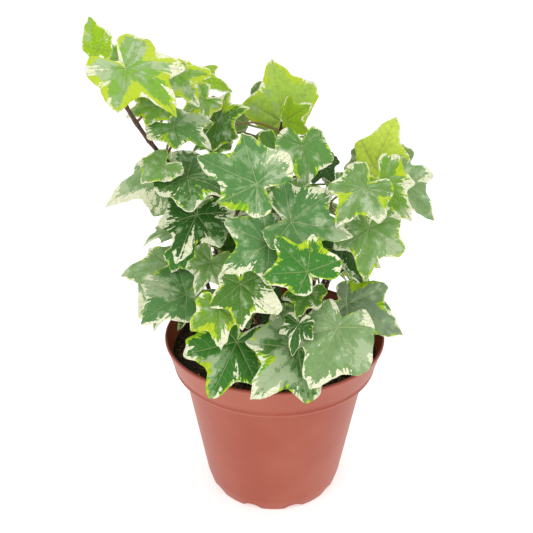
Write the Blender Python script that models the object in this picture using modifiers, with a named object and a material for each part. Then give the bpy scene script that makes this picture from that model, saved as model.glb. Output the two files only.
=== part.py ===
"""A potted English ivy: a notched plastic nursery pot, its plug of potting soil,
and rooted ivy stems whose lobed, variegated leaves make a loose mound.

Lengths are written in millimetres and turned into metres where an object is
made. The origin is the middle of the pot's underside, +Z is up, and the plant's
fullest side, which a buyer would turn towards the room, faces -Y.
"""

import math
import random
from collections import namedtuple

import bmesh
import bpy
from mathutils import Matrix, Vector, noise
from mathutils.bvhtree import BVHTree

METRES_PER_MM = 0.001

# Driving dimensions of the pot
POT_HEIGHT = 94.0
RIM_RADIUS = 60.0
BAND_FOOT_RADIUS = 55.2
BAND_FOOT_HEIGHT = 76.5
WALL_TOP_RADIUS = 50.2
WALL_TOP_HEIGHT = 71.5
WALL_FOOT_RADIUS = 39.4
WALL_FOOT_HEIGHT = 7.0
FOOT_RADIUS = 37.4
WALL = 1.3
FLOOR = 1.4
LIP_ROUND = 0.6
CHANNEL_HEIGHT = 3.6
CHANNEL_RADIUS = 28.4
POT_STEPS = 48

# The arches that let water out under the pot, and the holes above them
ARCHES = 10
ARCH_RADIUS = 6.6
ARCH_HEIGHT = 2.6
ARCH_SIDES = 20
DRAINS = 5
DRAIN_RADIUS = 2.3
DRAIN_SIDES = 12

# Driving dimensions of the soil
SOIL_HEIGHT = 84.5
SOIL_LUMP = 1.3
SOIL_LUMP_WIDTH = 14.0
SOIL_RINGS = (0, 12, 24, 36, 45, 51)
SOIL_STEPS = 32
CLEAR = 0.35

# Driving dimensions of the plant
STEM_RADIUS = 1.5
STEM_TAPER = 0.45
STEM_MOUTH = 3.0
HOLE_SIDES = 10
PETIOLE_RADIUS = 0.75
PETIOLE_TAPER = (1, 1, 0.9, 0.4)
BLADE_THICKNESS = 0.8

# The rings of points in a short and in a long blade, as shares of the way out to
# its rim: a long one bends along its inner ring
BLADE_RINGS = ((1.0,), (0.55, 1.0))
LONG_LEAF = 30.0

# Half of a blade's outline: angle from the middle lobe's tip in degrees, and the
# reach from the petiole as a share of the middle lobe's length. It runs tip,
# shoulder, bay, side lobe, shoulder, bay, basal lobe, shoulder, petiole notch.
ANGLES = (0, 12, 27, 51, 66, 84, 113, 147, 180)
OUTLINES = {
    "lobed": (1.00, 0.78, 0.61, 0.83, 0.74, 0.59, 0.68, 0.56, 0.15),
    "broad": (1.00, 0.84, 0.73, 0.83, 0.79, 0.69, 0.71, 0.62, 0.16),
    "narrow": (1.00, 0.70, 0.48, 0.66, 0.54, 0.44, 0.49, 0.39, 0.12),
}

# Each stem's route, from the bottom of its hole in the soil to its tip
ROUTES = {
    "stem_tall_left": (
        (-15, -6, 72), (-15, -6, 96), (-14, -10, 135), (-17, -19, 167), (-28, -24, 180),
        (-44, -26, 191), (-57, -30, 208), (-66, -33, 225), (-72, -33, 240),
    ),
    "stem_centre": (
        (5, 4, 72), (5, 4, 96), (-1, 8, 135), (-3, 6, 172), (1, 8, 196), (3, 9, 208),
    ),
    "stem_right": ((22, 0, 72), (22, 0, 96), (30, 1, 130), (38, 4, 156), (45, 6, 176)),
    "stem_front_right": (
        (13, -14, 72), (13, -14, 96), (18, -20, 125), (21, -26, 150), (18, -32, 168),
    ),
    "stem_front_left": (
        (-27, -12, 72), (-27, -12, 96), (-33, -18, 125), (-37, -22, 148), (-38, -26, 166),
    ),
    "stem_front_centre": (
        (-5, -20, 72), (-5, -20, 96), (-10, -27, 125), (-9, -33, 150), (-6, -36, 174),
    ),
    "stem_low_front": ((2, -31, 72), (2, -31, 94), (4, -37, 108), (6, -42, 120)),
    "stem_low_right": ((29, -18, 72), (29, -18, 94), (33, -24, 106), (36, -26, 118)),
    "stem_back_left": ((-22, 16, 72), (-22, 16, 96), (-32, 24, 125), (-38, 28, 150)),
    "stem_back_right": ((20, 20, 72), (20, 20, 96), (32, 26, 122), (38, 30, 144)),
    "stem_back": ((-1, 27, 72), (-1, 27, 96), (-2, 36, 122), (-2, 38, 146)),
}

# The leaves that show most on each stem: name, petiole junction, tip of the middle
# lobe, the way the upper face looks (degrees turned from -Y towards +X, degrees
# tilted up), outline, and how far the left and right side lobes and the left and
# right basal lobes reach, as shares of that outline's.
LEAVES = {
    "stem_low_right": (
        ("blue_green", (36, -26, 124), (65, -34, 111), (5, 38), "lobed", (0.85, 1, 0.6, 0.8)),
        ("pale_broad", (29, -56, 128), (16, -70, 102), (-8, 32), "broad", (0.92, 0.72, 0.77, 0.65)),
    ),
    "stem_low_front": (
        ("rim_left", (-18, -50, 116), (-31, -67, 93), (15, 32), "lobed", (0.95, 1.05, 0.95, 1)),
        ("rim_middle", (11, -52, 114), (-12, -70, 96), (12, 36), "lobed", (0.95, 0.9, 1, 1)),
        ("small_dark", (11, -57, 130), (8, -65, 117), (-10, 28), "narrow", (1, 1, 1, 1)),
        ("fresh", (15, -44, 137), (10, -54, 128), (-5, 45), "lobed", (0.9, 1, 1, 1)),
    ),
    "stem_front_centre": (
        ("centre_grey", (-3, -50, 167), (-24, -66, 159), (20, 30), "lobed", (0.85, 1, 1, 0.88)),
        ("centre_cream", (-16, -64, 153), (-15, -72, 133), (-5, 20), "lobed", (1.25, 0.95, 1, 0.75)),
        ("centre_low", (-25, -60, 140), (-24, -67, 121), (10, 25), "lobed", (0.8, 1, 1, 0.8)),
        ("centre_dark", (2, -36, 130), (-6, -42, 118), (0, 40), "broad", (0.9, 0.9, 0.8, 0.8)),
    ),
    "stem_front_right": (
        ("broad_grey", (7, -46, 176), (35, -50, 171), (0, 42), "lobed", (1, 0.85, 1, 0.85)),
        ("bright", (14, -64, 160), (-1, -56, 174), (-10, 22), "lobed", (1.1, 0.9, 0.8, 1.05)),
        ("tucked", (32, -32, 157), (43, -42, 144), (20, 40), "lobed", (1, 1, 1, 1)),
    ),
    "stem_front_left": (
        ("left_dark", (-36, -38, 176), (-44, -57, 159), (-5, 50), "lobed", (0.95, 0.85, 1, 1)),
        ("left_edge_on", (-51, -20, 160), (-65, -24, 154), (-20, 80), "narrow", (1, 1, 1, 1)),
        ("left_far", (-53, -20, 142), (-78, -20, 135), (-20, 40), "lobed", (1.4, 0.65, 1, 0.65)),
        ("left_smooth", (-42, -42, 137), (-62, -58, 129), (0, 58), "broad", (0.8, 1, 1, 1.1)),
        ("left_curled", (-45, -28, 152), (-50, -34, 144), (-15, 40), "broad", (1, 1, 1, 1)),
        ("left_streaked", (-30, -40, 153), (-37, -49, 140), (-15, 38), "lobed", (1, 0.9, 1, 1)),
        ("left_folded", (-42, -28, 127), (-46, -33, 110), (40, 20), "narrow", (1, 1, 1, 1)),
    ),
    "stem_right": (
        ("right_band", (50, -20, 186), (64, -30, 170), (0, 32), "lobed", (0.8, 1, 1, 1)),
        ("shoulder", (42, -42, 172), (40, -56, 151), (-5, 38), "lobed", (1, 0.9, 0.9, 0.7)),
        ("right_front", (40, -40, 190), (26, -52, 175), (-15, 46), "lobed", (1, 0.9, 0.8, 0.95)),
        ("right_grey", (57, -3, 180), (78, -9, 162), (20, 40), "lobed", (0.95, 0.9, 0.8, 0.6)),
        ("right_lime", (49, 8, 185), (59, 10, 210), (-15, 14), "broad", (0.7, 0.85, 0.45, 0.5)),
        ("back_right", (54, 20, 185), (54, 32, 161), (175, 25), "lobed", (1, 1, 0.9, 1)),
        ("back_far", (60, 14, 172), (67, 22, 151), (150, 30), "lobed", (0.9, 1, 1, 1)),
    ),
    "stem_tall_left": (
        ("crown", (-75, -34, 248), (-79, -30, 261), (-20, 12), "broad", (0.75, 0.8, 0.6, 0.65)),
        ("crown_back", (-70, -12, 241), (-68, -8, 251), (15, 20), "lobed", (0.9, 0.8, 0.9, 0.9)),
        ("top", (-62, -44, 242), (-40, -56, 225), (30, 54), "lobed", (1, 1.05, 1.1, 0.85)),
        ("top_under", (-45, -20, 236), (-34, -30, 223), (0, 40), "lobed", (1, 1, 0.6, 0.8)),
        ("top_behind", (-43, 20, 225), (-22, 18, 221), (10, 58), "lobed", (0.95, 0.8, 1, 1)),
        ("middle", (-46, -28, 214), (-28, -34, 205), (25, 62), "lobed", (1.1, 0.9, 1.1, 1)),
        ("elbow_small", (-50, -38, 198), (-59, -46, 192), (5, 50), "broad", (0.8, 1, 1, 1)),
        ("elbow_long", (-52, -12, 187), (-81, -24, 174), (-25, 50), "lobed", (1, 0.65, 0.9, 0.65)),
        ("elbow_front", (-40, -36, 191), (-17, -46, 184), (20, 64), "lobed", (1, 1.1, 1.2, 0.95)),
        ("tall_tuft", (-53, -21, 219), (-67, -24, 214), (-10, 35), "lobed", (1, 1, 1, 1)),
        ("tall_fill", (-34, -4, 221), (-45, -10, 214), (0, 40), "lobed", (1, 1, 1, 1)),
        ("tall_back", (-49, -14, 209), (-54, -4, 196), (200, 40), "broad", (1, 1, 1, 1)),
        ("top_back", (-57, -20, 228), (-64, -12, 217), (215, 30), "lobed", (1, 1, 1, 0.9)),
    ),
    "stem_centre": (
        ("lime_dark", (-28, -6, 211), (-12, -11, 219), (-20, 40), "lobed", (1, 1.1, 1.1, 1.2)),
        ("shaded", (0, -8, 198), (-7, -16, 184), (0, 40), "lobed", (1, 1, 1, 1)),
        ("sweep", (-7, -44, 193), (-34, -35, 203), (-10, 15), "lobed", (0.75, 0.9, 0.75, 0.95)),
        ("sweep_under", (-6, -40, 190), (-8, -50, 180), (5, 50), "broad", (1, 1, 1, 1)),
        ("lime_upright", (2, 12, 207), (-3, 14, 238), (20, 5), "broad", (0.85, 1, 0.4, 0.6)),
        ("lime_small", (5, 2, 210), (18, -2, 219), (-10, 30), "lobed", (0.9, 1, 0.4, 0.45)),
        ("heart", (12, -22, 204), (14, -31, 187), (10, 35), "broad", (1, 1, 0.9, 0.95)),
        ("heart_behind", (21, 2, 190), (30, -2, 178), (20, 35), "lobed", (0.9, 1, 0.8, 0.9)),
        ("gap_right", (34, 0, 181), (22, -8, 176), (0, 50), "lobed", (0.9, 0.9, 0.8, 0.8)),
        ("olive", (-13, 3, 199), (0, 1, 203), (5, 50), "lobed", (0.9, 0.9, 0.8, 0.8)),
        ("sweep_back", (-29, 0, 201), (-41, -4, 196), (0, 50), "lobed", (1, 1, 1, 1)),
        ("back_crown", (2, 24, 215), (4, 34, 192), (180, 25), "lobed", (1, 0.9, 1, 1)),
        ("back_high", (13, 20, 190), (22, 30, 171), (160, 30), "broad", (0.9, 1, 1, 1)),
        ("back_lime", (-25, 10, 207), (-32, 20, 189), (195, 35), "lobed", (1, 1, 0.9, 1)),
        ("back_small", (-12, 22, 184), (-20, 34, 175), (200, 40), "lobed", (1, 1, 1, 1)),
        ("back_broad", (-12, 28, 153), (-17, 42, 128), (190, 35), "broad", (1, 1, 1, 0.9)),
    ),
    "stem_back": (
        ("back_low", (13, 28, 152), (20, 43, 128), (170, 32), "lobed", (1, 1, 1, 0.9)),
    ),
}

# The rule's leaves for the sides, the back and the inside of the mound. Each layer
# is a dome with its centre and radii, the leaves laid on it, how long they are, and
# how near the full side (-Y) they may start.
Layer = namedtuple("Layer", "centre radii leaves shortest longest nearest")
MOUND_LAYERS = (
    Layer((-4, 10, 106), (51, 55, 58), 40, 22, 29, -12),
    Layer((-3, 6, 110), (34, 34, 38), 22, 15, 21, -45),
    Layer((-2, 0, 144), (33, 30, 44), 26, 16, 22, -60),
)
GOLDEN_ANGLE = math.radians(137.508)

# How a leaf in another's way is moved along its facing, tilted, and its stalk
# bowed sideways, in the order in which they are tried, and what it keeps clear of
SHIFTS = (0, 1.5, -1.5, 3, -3, 4.5, -4.5, 6, -6, 8, -8, 10, -10)
TILTS = (0, 8, -8, 16, -16, 26, -26)
BOWS = (0, 4, -4, 8, -8, 13, -13)
ROOTS_TRIED = 5
LIFTS = (0, 1.2, -1.2, 0.6, -0.6)
BLADE_MARGIN = 1.02
STALK_ROOM = 1.1
STRIP_ANGLES = tuple(math.radians(angle) for angle in (0, 45, 90, 135))

COLOURS = {
    "terracotta": ((0.45, 0.12, 0.07), 0.5),
    "soil": ((0.035, 0.022, 0.015), 0.95),
    "leaf": ((0.11, 0.25, 0.08), 0.5),
}

Leaf = namedtuple("Leaf", "stem name junction tip facing outline lobes")


def clear_scene():
    for old in list(bpy.data.objects):
        bpy.data.objects.remove(old)


def new_collection(name):
    made = bpy.data.collections.new(name)
    bpy.context.scene.collection.children.link(made)
    return made


def new_material(name):
    colour, roughness = COLOURS[name]
    made = bpy.data.materials.new(name)
    made.use_nodes = True
    shader = made.node_tree.nodes["Principled BSDF"]
    shader.inputs["Base Color"].default_value = (*colour, 1)
    shader.inputs["Roughness"].default_value = roughness
    shader.inputs["Metallic"].default_value = 0
    return made


def mesh_object(name, bm, collection, material=None):
    """An object from a bmesh in millimetres."""
    mesh = bpy.data.meshes.new(name)
    bm.to_mesh(mesh)
    bm.free()
    mesh.transform(Matrix.Scale(METRES_PER_MM, 4))
    made = bpy.data.objects.new(name, mesh)
    collection.objects.link(made)
    if material:
        mesh.materials.append(material)
    return made


def evaluated_mesh(made):
    """The mesh of an object with its modifiers or its bevel applied."""
    graph = bpy.context.evaluated_depsgraph_get()
    graph.update()
    return bpy.data.meshes.new_from_object(made.evaluated_get(graph))


def apply_modifiers(made):
    mesh = evaluated_mesh(made)
    made.modifiers.clear()
    made.data = mesh


def shade(made, degrees=35):
    made.data.shade_smooth()
    made.data.set_sharp_from_angle(angle=math.radians(degrees))


def turned(name, profile, steps, collection, material=None):
    """A solid turned about Z from (radius, height) points that run down its outer side."""
    bm = bmesh.new()
    points = [bm.verts.new((radius, 0, height)) for radius, height in profile]
    for first, second in zip(points, points[1:]):
        bm.edges.new((first, second))
    made = mesh_object(name, bm, collection, material)
    screw = made.modifiers.new("turn", "SCREW")
    screw.axis = "Z"
    screw.angle = math.tau
    screw.steps = steps
    screw.render_steps = steps
    screw.use_merge_vertices = True
    screw.merge_threshold = 0.00001
    return made


def cut(made, cutters):
    boolean = made.modifiers.new("cut", "BOOLEAN")
    boolean.operation = "DIFFERENCE"
    boolean.operand_type = "COLLECTION"
    boolean.collection = cutters


def cylinder(name, radius, start, end, sides, collection):
    """A closed cylinder between two points, for cutting."""
    bm = bmesh.new()
    start = Vector(start)
    along = Vector(end) - start
    bmesh.ops.create_cone(
        bm, cap_ends=True, segments=sides, radius1=radius, radius2=radius, depth=along.length
    )
    turn = along.to_track_quat("Z", "Y").to_matrix().to_4x4()
    bmesh.ops.transform(bm, matrix=Matrix.Translation(start + along / 2) @ turn, verts=bm.verts)
    made = mesh_object(name, bm, collection)
    made.hide_render = True
    made.display_type = "WIRE"
    return made


def pot_inner_profile():
    """The inside of the pot from the middle of its floor up to the rim."""
    channel_floor = CHANNEL_HEIGHT + FLOOR
    foot_slope = (WALL_FOOT_RADIUS - FOOT_RADIUS) / WALL_FOOT_HEIGHT
    return (
        (0, FLOOR),
        (CHANNEL_RADIUS - FLOOR, FLOOR),
        (CHANNEL_RADIUS + 0.4, channel_floor),
        (FOOT_RADIUS + foot_slope * channel_floor - WALL, channel_floor),
        (WALL_FOOT_RADIUS - WALL, WALL_FOOT_HEIGHT + 0.6),
        (WALL_TOP_RADIUS - WALL, WALL_TOP_HEIGHT + 0.6),
        (BAND_FOOT_RADIUS - WALL - 0.5, BAND_FOOT_HEIGHT + 0.4),
        (RIM_RADIUS - WALL - 0.1, POT_HEIGHT - 0.5),
    )


def pot_outer_profile():
    """The outside of the pot from the rim down to the middle of its underside."""
    return (
        (RIM_RADIUS - WALL + 0.3, POT_HEIGHT),
        (RIM_RADIUS - 0.4, POT_HEIGHT),
        (RIM_RADIUS, POT_HEIGHT - LIP_ROUND),
        (BAND_FOOT_RADIUS + 0.5, BAND_FOOT_HEIGHT + 1.6),
        (BAND_FOOT_RADIUS + 0.7, BAND_FOOT_HEIGHT + 0.7),
        (BAND_FOOT_RADIUS, BAND_FOOT_HEIGHT - 0.4),
        (WALL_TOP_RADIUS + 1.3, WALL_TOP_HEIGHT + 1.9),
        (WALL_TOP_RADIUS + 0.3, WALL_TOP_HEIGHT + 1.0),
        (WALL_TOP_RADIUS, WALL_TOP_HEIGHT),
        (WALL_FOOT_RADIUS, WALL_FOOT_HEIGHT),
        (FOOT_RADIUS, 0),
        (FOOT_RADIUS - WALL, 0),
        (FOOT_RADIUS - WALL, CHANNEL_HEIGHT),
        (CHANNEL_RADIUS + 1.6, CHANNEL_HEIGHT),
        (CHANNEL_RADIUS, 0),
        (0, 0),
    )


def ring_spot(angle, radius, height):
    return Vector((radius * math.cos(angle), radius * math.sin(angle), height))


def make_pot(parts, cutters):
    profile = pot_inner_profile() + pot_outer_profile()
    pot = turned("pot", profile, POT_STEPS, parts, new_material("terracotta"))
    centre_height = ARCH_HEIGHT - ARCH_RADIUS
    for index in range(ARCHES):
        angle = math.radians(-90) + math.tau / ARCHES * (index + 0.5)
        inner = ring_spot(angle, CHANNEL_RADIUS + 3.2, centre_height)
        outer = ring_spot(angle, RIM_RADIUS, centre_height)
        cylinder(f"arch_{index}", ARCH_RADIUS, inner, outer, ARCH_SIDES, cutters)
    for index in range(DRAINS):
        foot = ring_spot(math.tau / DRAINS * index, CHANNEL_RADIUS + 4.6, 0)
        top = foot + Vector((0, 0, CHANNEL_HEIGHT + 6))
        cylinder(f"drain_{index}", DRAIN_RADIUS, foot, top, DRAIN_SIDES, cutters)
    cut(pot, cutters)
    apply_modifiers(pot)
    shade(pot)
    return pot


def make_soil(parts, hole_cutters):
    """The plug of soil: it follows the pot's inside and has a lumpy top."""
    top_radius = SOIL_RINGS[-1] + 4.6
    top = [(radius, SOIL_HEIGHT) for radius in SOIL_RINGS]
    shoulder = [(top_radius - 0.6, SOIL_HEIGHT - 0.6)]
    side = [(radius - 0.5, height + CLEAR) for radius, height in reversed(pot_inner_profile()[1:-1])]
    profile = top + shoulder + side + [(0, FLOOR + CLEAR)]
    soil = turned("soil", profile, SOIL_STEPS, parts, new_material("soil"))
    apply_modifiers(soil)
    for vertex in soil.data.vertices:
        spot = vertex.co / METRES_PER_MM
        if spot.z > SOIL_HEIGHT - 0.1:
            fade = min(1, (top_radius - spot.xy.length) / 6)
            lump = noise.fractal(spot / SOIL_LUMP_WIDTH, 1.0, 2.0, 3) + 0.25
            vertex.co.z += SOIL_LUMP * lump * fade * METRES_PER_MM
    for name, route in ROUTES.items():
        foot = Vector(route[0]) - Vector((0, 0, CLEAR))
        mouth = Vector(route[1])
        cylinder(f"hole_{name}", STEM_RADIUS + CLEAR, foot, mouth, HOLE_SIDES, hole_cutters)
    cut(soil, hole_cutters)
    apply_modifiers(soil)
    shade(soil)
    return soil


def smooth_route(points, per_span):
    """Points read from a smooth curve through a list of points."""
    points = [Vector(point) for point in points]
    ends = [2 * points[0] - points[1]] + points + [2 * points[-1] - points[-2]]
    route = []
    for before, start, end, after in zip(ends, ends[1:], ends[2:], ends[3:]):
        for step in range(per_span):
            share = step / per_span
            even = 2 * start + (end - before) * share
            bend = (2 * before - 5 * start + 4 * end - after) * share ** 2
            twist = (3 * start - before - 3 * end + after) * share ** 3
            route.append((even + bend + twist) / 2)
    return route + [points[-1]]


def stem_route(name, per_span=2):
    """A stem's smooth route, straight as far as the mouth of its hole."""
    foot, *rest = ROUTES[name]
    mouth = (foot[0], foot[1], SOIL_HEIGHT + STEM_MOUTH)
    return smooth_route((foot, mouth, *rest), per_span)


def tube(name, route, radii, resolution, collection):
    """A tube along a route, as a closed mesh object."""
    curve = bpy.data.curves.new(name, "CURVE")
    curve.dimensions = "3D"
    curve.bevel_depth = METRES_PER_MM
    curve.bevel_resolution = resolution
    curve.use_fill_caps = True
    spline = curve.splines.new("POLY")
    spline.points.add(len(route) - 1)
    for point, place, radius in zip(spline.points, route, radii):
        point.co = (*(Vector(place) * METRES_PER_MM), 1)
        point.radius = radius
    guide = bpy.data.objects.new(name, curve)
    collection.objects.link(guide)
    mesh = evaluated_mesh(guide)
    place = guide.matrix_world.copy()
    bpy.data.objects.remove(guide)
    bm = bmesh.new()
    bm.from_mesh(mesh)
    bmesh.ops.remove_doubles(bm, verts=bm.verts, dist=0.00001)
    bmesh.ops.recalc_face_normals(bm, faces=bm.faces)
    bm.to_mesh(mesh)
    bm.free()
    made = bpy.data.objects.new(name, mesh)
    made.matrix_world = place
    collection.objects.link(made)
    return made


class Blade:
    """Where one leaf's blade lies: its own axes, its outline and its waves."""

    def __init__(self, leaf):
        self.leaf = leaf
        chance = random.Random(leaf.name)
        turn, tilt = (math.radians(angle) for angle in leaf.facing)
        self.junction = Vector(leaf.junction)
        along = Vector(leaf.tip) - self.junction
        self.length = along.length
        self.along = along.normalized()
        level = Vector((math.sin(turn), -math.cos(turn), 0))
        facing = level * math.cos(tilt) + Vector((0, 0, math.sin(tilt)))
        self.face = (facing - facing.project(self.along)).normalized()
        self.across = self.face.cross(self.along)
        self.arch = chance.uniform(0.05, 0.12)
        self.roll = chance.uniform(0.0, 0.16)
        self.wave = chance.uniform(0.03, 0.07)
        self.phase = chance.uniform(0, math.tau)

    def rim(self):
        """The outline's corners, once round from the tip, as (angle, reach)."""
        left_side, right_side, left_basal, right_basal = self.leaf.lobes
        left = self.half(left_side, left_basal)
        right = self.half(right_side, right_basal)
        return left + [(-angle, reach) for angle, reach in reversed(right[1:-1])]

    def half(self, side, basal):
        """One half of the outline with its side lobe and basal lobe lengthened."""
        shares = (1, 1, (1 + side) / 2, side, side, (side + basal) / 2, basal, basal, 1)
        corners = zip(ANGLES, OUTLINES[self.leaf.outline], shares)
        return [(math.radians(angle), reach * share) for angle, reach, share in corners]

    def place(self, angle, reach, share=1.0, lift=0.0):
        """A point of the blade: share of the way out to the rim, lift off its middle sheet."""
        out = share * reach
        x = out * math.cos(angle)
        y = out * math.sin(angle)
        rolled = -self.roll * y * y
        arched = self.arch * 4 * max(0, x) * (1 - x)
        waved = self.wave * out ** 2 * math.sin(3 * angle + self.phase) * math.sin(angle) ** 2
        flat = self.along * x + self.across * y + self.face * (rolled + arched + waved)
        return self.junction + flat * self.length + self.face * lift

    def sheet(self, shares, lift=0.0):
        """The blade's middle sheet as rings of points and triangles, for keeping leaves clear."""
        rim = self.rim()
        count = len(rim)
        points = [self.place(0, 0, 0, lift)]
        for share in shares:
            points += [self.place(angle, reach, share, lift) for angle, reach in rim]
        faces = [(0, 1 + index, 1 + (index + 1) % count) for index in range(count)]
        for first in range(1, 1 + count * (len(shares) - 1), count):
            for index in range(count):
                here, after = first + index, first + (index + 1) % count
                faces.append((here, here + count, after + count))
                faces.append((here, after + count, after))
        return points, faces

    def stalk(self, root, bow):
        """The leaf stalk's route from the stem's middle to just inside the blade."""
        gap = (self.junction - root).length
        sideways = (self.junction - root).cross(Vector((0, 0, 1))).normalized()
        middle = root.lerp(self.junction, 0.5) + sideways * bow
        middle += (Vector((0, 0, 1)) - self.face) * gap * 0.1
        near = self.junction - self.along * min(5, gap * 0.2) - self.face * min(4, gap * 0.2)
        return [root, middle, near, self.junction]


def ribbon(route, half_width):
    """Crossed strips along a route, which stand in for a stalk in clearance tests."""
    points = []
    faces = []
    for start, end in zip(route, route[1:]):
        along = end - start
        side = along.orthogonal().normalized() * half_width
        for angle in STRIP_ANGLES:
            arm = Matrix.Rotation(angle, 3, along) @ side
            first = len(points)
            points += [start - arm, start + arm, end + arm, end - arm]
            faces += [(first, first + 1, first + 2), (first, first + 2, first + 3)]
    return points, faces


def pot_guard():
    """A plain funnel a little proud of the pot and the soil, for clearance tests."""
    profile = (
        (0.5, SOIL_HEIGHT + 2),
        (RIM_RADIUS - 6, SOIL_HEIGHT + 2),
        (RIM_RADIUS - 2, POT_HEIGHT + 0.5),
        (RIM_RADIUS + 0.6, POT_HEIGHT + 0.5),
        (BAND_FOOT_RADIUS + 0.6, BAND_FOOT_HEIGHT),
        (FOOT_RADIUS, 0),
    )
    points = []
    for radius, height in profile:
        points += [ring_spot(math.tau * step / POT_STEPS, radius, height) for step in range(POT_STEPS)]
    faces = []
    for first in range(0, POT_STEPS * (len(profile) - 1), POT_STEPS):
        for step in range(POT_STEPS):
            here, after = first + step, first + (step + 1) % POT_STEPS
            faces.append((here, after, after + POT_STEPS, here + POT_STEPS))
    return points, faces


class Crowd:
    """The pieces already in place, so that the next leaf can be bent clear of them."""

    def __init__(self):
        self.kept = []

    def add(self, owner, points, faces):
        self.kept.append((owner, BVHTree.FromPolygons(points, faces)))

    def meets(self, points, faces, passed=()):
        tree = BVHTree.FromPolygons(points, faces)
        return any(owner not in passed and tree.overlap(other) for owner, other in self.kept)


def stalk_roots(blade, route):
    """The best few nodes of a stem for a leaf: lower than it and a fair stalk away."""
    wanted = 6 + 0.55 * blade.length
    scored = []
    for point in route[3:]:
        gap = (blade.junction - point).length
        too_high = max(0, point.z + 5 - blade.junction.z)
        scored.append((abs(gap - wanted) + 2 * too_high, len(scored), point))
    return [point for _, _, point in sorted(scored)[:ROOTS_TRIED]]


def settle(leaf, crowd, route):
    """Bends a leaf clear of its neighbours. Returns its blade and stalk, or None."""
    turn, tilt = leaf.facing
    own = (f"{leaf.stem} stem", f"{leaf.stem} stalk")
    for extra in TILTS:
        for shift in SHIFTS:
            blade = Blade(leaf._replace(facing=(turn, tilt + extra)))
            blade.junction += blade.face * shift
            grown = [[share * BLADE_MARGIN for share in shares] for shares in BLADE_RINGS]
            sheets = [blade.sheet(shares, lift) for shares in grown for lift in LIFTS]
            if any(crowd.meets(*sheet) for sheet in sheets):
                continue
            for root in stalk_roots(blade, route):
                for bow in BOWS:
                    stalk = blade.stalk(root, bow)
                    if not crowd.meets(*ribbon(stalk, PETIOLE_RADIUS + STALK_ROOM), passed=own):
                        return blade, stalk
    return None


def mound_leaves(routes):
    """Leaves for the sides, the back and the inside, laid like roof tiles on a mound."""
    for number, layer in enumerate(MOUND_LAYERS):
        for index in range(layer.leaves):
            chance = random.Random(f"mound {number} {index}")
            azimuth = index * GOLDEN_ANGLE + number
            rise = math.asin(0.02 + 0.93 * (index + 0.5) / layer.leaves)
            level = Vector((math.cos(azimuth), math.sin(azimuth), 0))
            outward = level * math.cos(rise) + Vector((0, 0, math.sin(rise)))
            junction = Vector(layer.centre) + outward * Vector(layer.radii)
            if junction.y < layer.nearest:
                continue
            turn = math.degrees(math.atan2(level.x, -level.y)) + chance.uniform(-20, 20)
            tilt = math.degrees(rise) * 0.5 + chance.uniform(20, 40)
            slope = level * math.sin(rise + 0.5) - Vector((0, 0, math.cos(rise + 0.5)))
            slope.rotate(Matrix.Rotation(math.radians(chance.uniform(-40, 40)), 3, outward))
            tip = junction + slope * chance.uniform(layer.shortest, layer.longest)
            stem = min(routes, key=lambda name: min((point - junction).length for point in routes[name]))
            outline = chance.choice(("lobed", "lobed", "broad"))
            lobes = tuple(chance.uniform(0.85, 1.1) for _ in range(4))
            name = f"mound_{number}_{index}"
            yield Leaf(stem, name, tuple(junction), tuple(tip), (turn, tilt), outline, lobes)


def all_leaves(routes):
    for stem, rows in LEAVES.items():
        for row in rows:
            yield Leaf(stem, *row)
    yield from mound_leaves(routes)


def plant():
    """The stems' routes, and for each stem its settled leaves as (blade, stalk)."""
    routes = {name: stem_route(name) for name in ROUTES}
    crowd = Crowd()
    crowd.add("pot", *pot_guard())
    for name, route in routes.items():
        crowd.add(f"{name} stem", *ribbon(route, STEM_RADIUS))
    grown = {name: [] for name in routes}
    for leaf in all_leaves(routes):
        found = settle(leaf, crowd, routes[leaf.stem])
        if found is None:
            print("no room for", leaf.name)
            continue
        blade, stalk = found
        grown[leaf.stem].append(found)
        for shares in BLADE_RINGS:
            crowd.add(f"{leaf.stem} blade", *blade.sheet(shares))
        crowd.add(f"{leaf.stem} stalk", *ribbon(stalk, PETIOLE_RADIUS))
    return routes, grown


def ringed_disc(steps, shares):
    """A flat disc of rings of points, whose radii are the given shares, inmost first."""
    bm = bmesh.new()
    bmesh.ops.create_circle(bm, segments=steps, radius=shares[-1])
    edges = list(bm.edges)
    inwards = (*reversed(shares), 0)
    for before, share in zip(inwards, inwards[1:]):
        made = bmesh.ops.extrude_edge_only(bm, edges=edges)["geom"]
        points = {piece for piece in made if isinstance(piece, bmesh.types.BMVert)}
        edges = [edge for edge in bm.edges if set(edge.verts) <= points]
        bmesh.ops.scale(bm, verts=list(points), vec=Vector((1, 1, 1)) * share / before)
    bmesh.ops.pointmerge(bm, verts=list(points), merge_co=(0, 0, 0))
    return bm


def blade_object(blade, collection):
    """A blade from a flat disc of rings, bent to its outline and given its thickness."""
    rim = blade.rim()
    plain, ringed = BLADE_RINGS
    bm = ringed_disc(len(rim), ringed if blade.length > LONG_LEAF else plain)
    for vertex in bm.verts:
        share = vertex.co.length
        step = round(math.atan2(vertex.co.y, vertex.co.x) / math.tau * len(rim))
        vertex.co = blade.place(*rim[step % len(rim)], share)
    bmesh.ops.triangulate(bm, faces=bm.faces)
    made = mesh_object(f"{blade.leaf.name}_blade", bm, collection)
    solidify = made.modifiers.new("thickness", "SOLIDIFY")
    solidify.thickness = BLADE_THICKNESS * METRES_PER_MM
    solidify.offset = 0
    apply_modifiers(made)


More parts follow.
